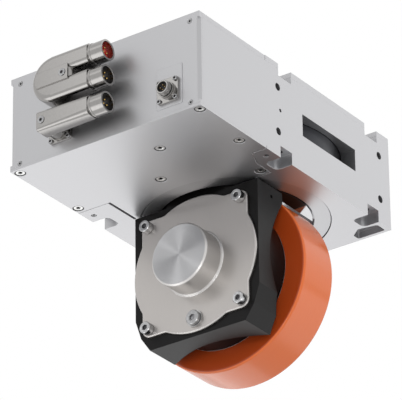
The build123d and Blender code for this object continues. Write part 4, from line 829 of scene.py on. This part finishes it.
# %% Thread grid
def threads(mouths, axis, radius, ridge, pitch, length, steps=36):
    """Helical ridges from mouths in mm: at angle a a ridge is at mouth + axis x pitch x a / 360 deg.

    The section has two corners on the cylinder, 0.7 of a pitch apart, and one between them at
    radius + ridge. It is scaled by min(1, a / 90 deg) at both ends.
    """
    foot = 0.35
    turns = length / pitch - 2 * foot
    a = np.linspace(0, 2 * np.pi * turns, int(steps * turns) + 1)[:, None]
    fade = np.clip(np.minimum(a, a[-1] - a) / (np.pi / 2), 0, 1)
    out = radius + ridge * fade * np.array([0, 1, 0, 0])
    along = pitch * (a / (2 * np.pi) + foot * (1 + fade * np.array([-1, 0, 1, -1])))
    axis = np.asarray(axis, float)
    first = np.array([0, 0, 1.0])
    second = np.cross(axis, first)
    round_axis = np.cos(a)[..., None] * first + np.sin(a)[..., None] * second
    local = along[..., None] * axis + out[..., None] * round_axis
    return (local + np.asarray(mouths, float)[:, None, None]) * MM


# %% Threads of the side holes
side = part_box("main_housing")[1][0] / MM
holes = [(y, z) for y in (-93, 95) for z in (-66, -14)]
tap = {"radius": 4.27, "ridge": -0.4, "pitch": 1.5, "length": 17}
right = threads([(side, y, z) for y, z in holes], (-1, 0, 0), **tap)
left = threads([(-side, y, z) for y, z in holes], (1, 0, 0), **tap)
all_threads = np.concatenate([right, left])
tapped = surface("tapped_threads", all_threads, "housing", sharp=30)
# Painted shade: the threads in the holes get a dark tone.
painted_shade, tree, shader = finish("shaded_tapped_aluminium", {"Metallic": 1.0})
work_surface(tree, shader, grain(tree, 0.5), ("#3a3a3b", "#48484a"), (0.4, 0.5), depth=0.002)
tapped.data.materials.append(painted_shade)

# %% Thread of the round connector
thread_start = [(round_x, panel - 6.2, round_z)]
coupling = threads(thread_start, (0, -1, 0), radius=7.18, ridge=0.45, pitch=1.0, length=5.8)
coupling_thread = surface("coupling_thread", coupling, "housing", sharp=30)
coupling_thread.data.materials.append(nickel)

# %% [markdown]
# ## Collars and seals of the connectors
# Each angled barrel turns in a collar, a narrow bead round its root. A torus would stand out too far,
# so the bead is a half-round profile turned about the barrel's own axis. The round connector has a
# black sealing ring behind its thread instead.

# %% Collars and seal
def round_section(radius, half_width, height, points=13):
    """A half-round ridge on a cylinder: r = R + h sin s, place = -w cos s, closed along the cylinder."""
    s = np.linspace(0, np.pi, points)
    inner = radius - 0.3
    ridge = np.stack([radius + height * np.sin(s), -half_width * np.cos(s)], -1)
    return np.concatenate([ridge, [[inner, half_width], [inner, -half_width]], ridge[:1]])


collar_x = 4.5
collar_places = [(collar_x, barrel_y, z) for z in barrel_heights]
collar = round_section(radius=11.4, half_width=1.3, height=0.6)
collar_grid = turnings(collar_places, X, collar)
collars = surface("barrel_collars", collar_grid, "housing")
collars.data.materials.append(nickel)
seal_section = round_section(radius=7.2, half_width=0.9, height=1.0)
seal_grid = turnings([(round_x, panel - 5.7, round_z)], Y, seal_section)
seal = surface("coupling_seal", seal_grid, "housing")
seal.data.materials.append(finishes["seal_rubber"])

# %% [markdown]
# ## Connector plate
# The round connector sits on a thin plate, cut to close the panel's larger opening. A box with bevels
# could stand for it, but only its front edge is broken. So it is a stack of rings of the same rounded
# outline: shrunk to the centre, moved in by the width of a bevel, twice full, and shrunk again at the
# back.

# %% Plate
def plate(centre, half, corner, thickness, bevel, steps=12):
    """Rings of a rounded rectangle that faces -Y. half holds half its width and half its height in mm.

    The outline's corners are quarter circles: (w - c + c cos t, h - c + c sin t), mirrored to all four.
    """
    quarter = np.linspace(0, np.pi / 2, steps)
    angle = np.concatenate([quarter + k * np.pi / 2 for k in range(4)] + [[0.0]])
    signs = np.repeat([(1, 1), (-1, 1), (-1, -1), (1, -1)], steps, 0)
    signs = np.concatenate([signs, signs[:1]])
    arc = np.stack([np.cos(angle), np.sin(angle)], -1)
    full = signs * (np.asarray(half, float) - corner) + corner * arc
    rings = [full * 0, full - bevel * arc, full, full, full * 0]
    depths = [-thickness, -thickness, bevel - thickness, 0, 0]
    grid = [np.insert(ring, 1, depth, axis=1) for ring, depth in zip(rings, depths)]
    return (np.stack(grid, 1) + np.asarray(centre, float)) * MM


plate_grid = plate((82.2, panel, -62.5), (16.3, 23), corner=1.5, thickness=0.6, bevel=0.25)
closing = surface("closing_plate", plate_grid, "housing", sharp=30)
closing.data.materials.append(satin)

# %% [markdown]
# ## Shade in the seam of the bottom cover
# A thin black rubber strip lies in the seam between the bottom cover and the housing, as painted shade
# in that gap. It is a narrow section carried along the line of the seam. A curve with a bevel would get
# thin at sharp bends, so the two sides are worked out as that line, moved by half the strip's width,
# and the strip keeps its width round every bend.

# %% Seam shade
def strip(line, half_width, low, high):
    """A strip along (x, y) points in mm, from height low to high, closed by a point at each end.

    Its sides are the line moved by 2 w n / |n|^2, where w is half the width and n is the sum of the
    unit normals before and after a point.
    """
    line = np.asarray(line, float)
    step = np.diff(line, axis=0)
    step = step / np.linalg.norm(step, axis=1)[:, None]
    both = np.concatenate([step[:1], step]) + np.concatenate([step, step[-1:]])
    normal = np.stack([-both[:, 1], both[:, 0]], -1)
    move = 2 * half_width * normal / (normal ** 2).sum(1)[:, None]
    one, other = line + move, line - move
    corners = [(one, low), (one, high), (other, high), (other, low), (one, low)]
    rings = np.stack([np.column_stack([edge, np.full(len(edge), z)]) for edge, z in corners], 1)
    ends = rings[[0, -1]][:, :4].mean(1, keepdims=True).repeat(5, 1)
    return np.concatenate([ends[:1], rings, ends[1:]]) * MM


right_seam = [(119.6, -115.2), (102.3, -115.2), (93.3, -94.2), (93.3, -69.7), (74, -69.7)]
left_seam = [(-119.6, -115.2), (-81.6, -115.2)]
# Painted shade: black strips along the seam.
for name, line in (("seam_shade_right", right_seam), ("seam_shade_left", left_seam)):
    laid = strip(line, half_width=0.26, low=underside + 0.15, high=underside + 2.2)
    seam_shade = surface(name, laid, "housing", sharp=30)
    seam_shade.data.materials.append(finishes["seal_rubber"])

# %% [markdown]
# ## Finish
# The colours go through the standard view transform. The dressed unit has to stay inside the
# box of its CAD model.

# %% Finish
bpy.context.scene.view_settings.view_transform = "Standard"
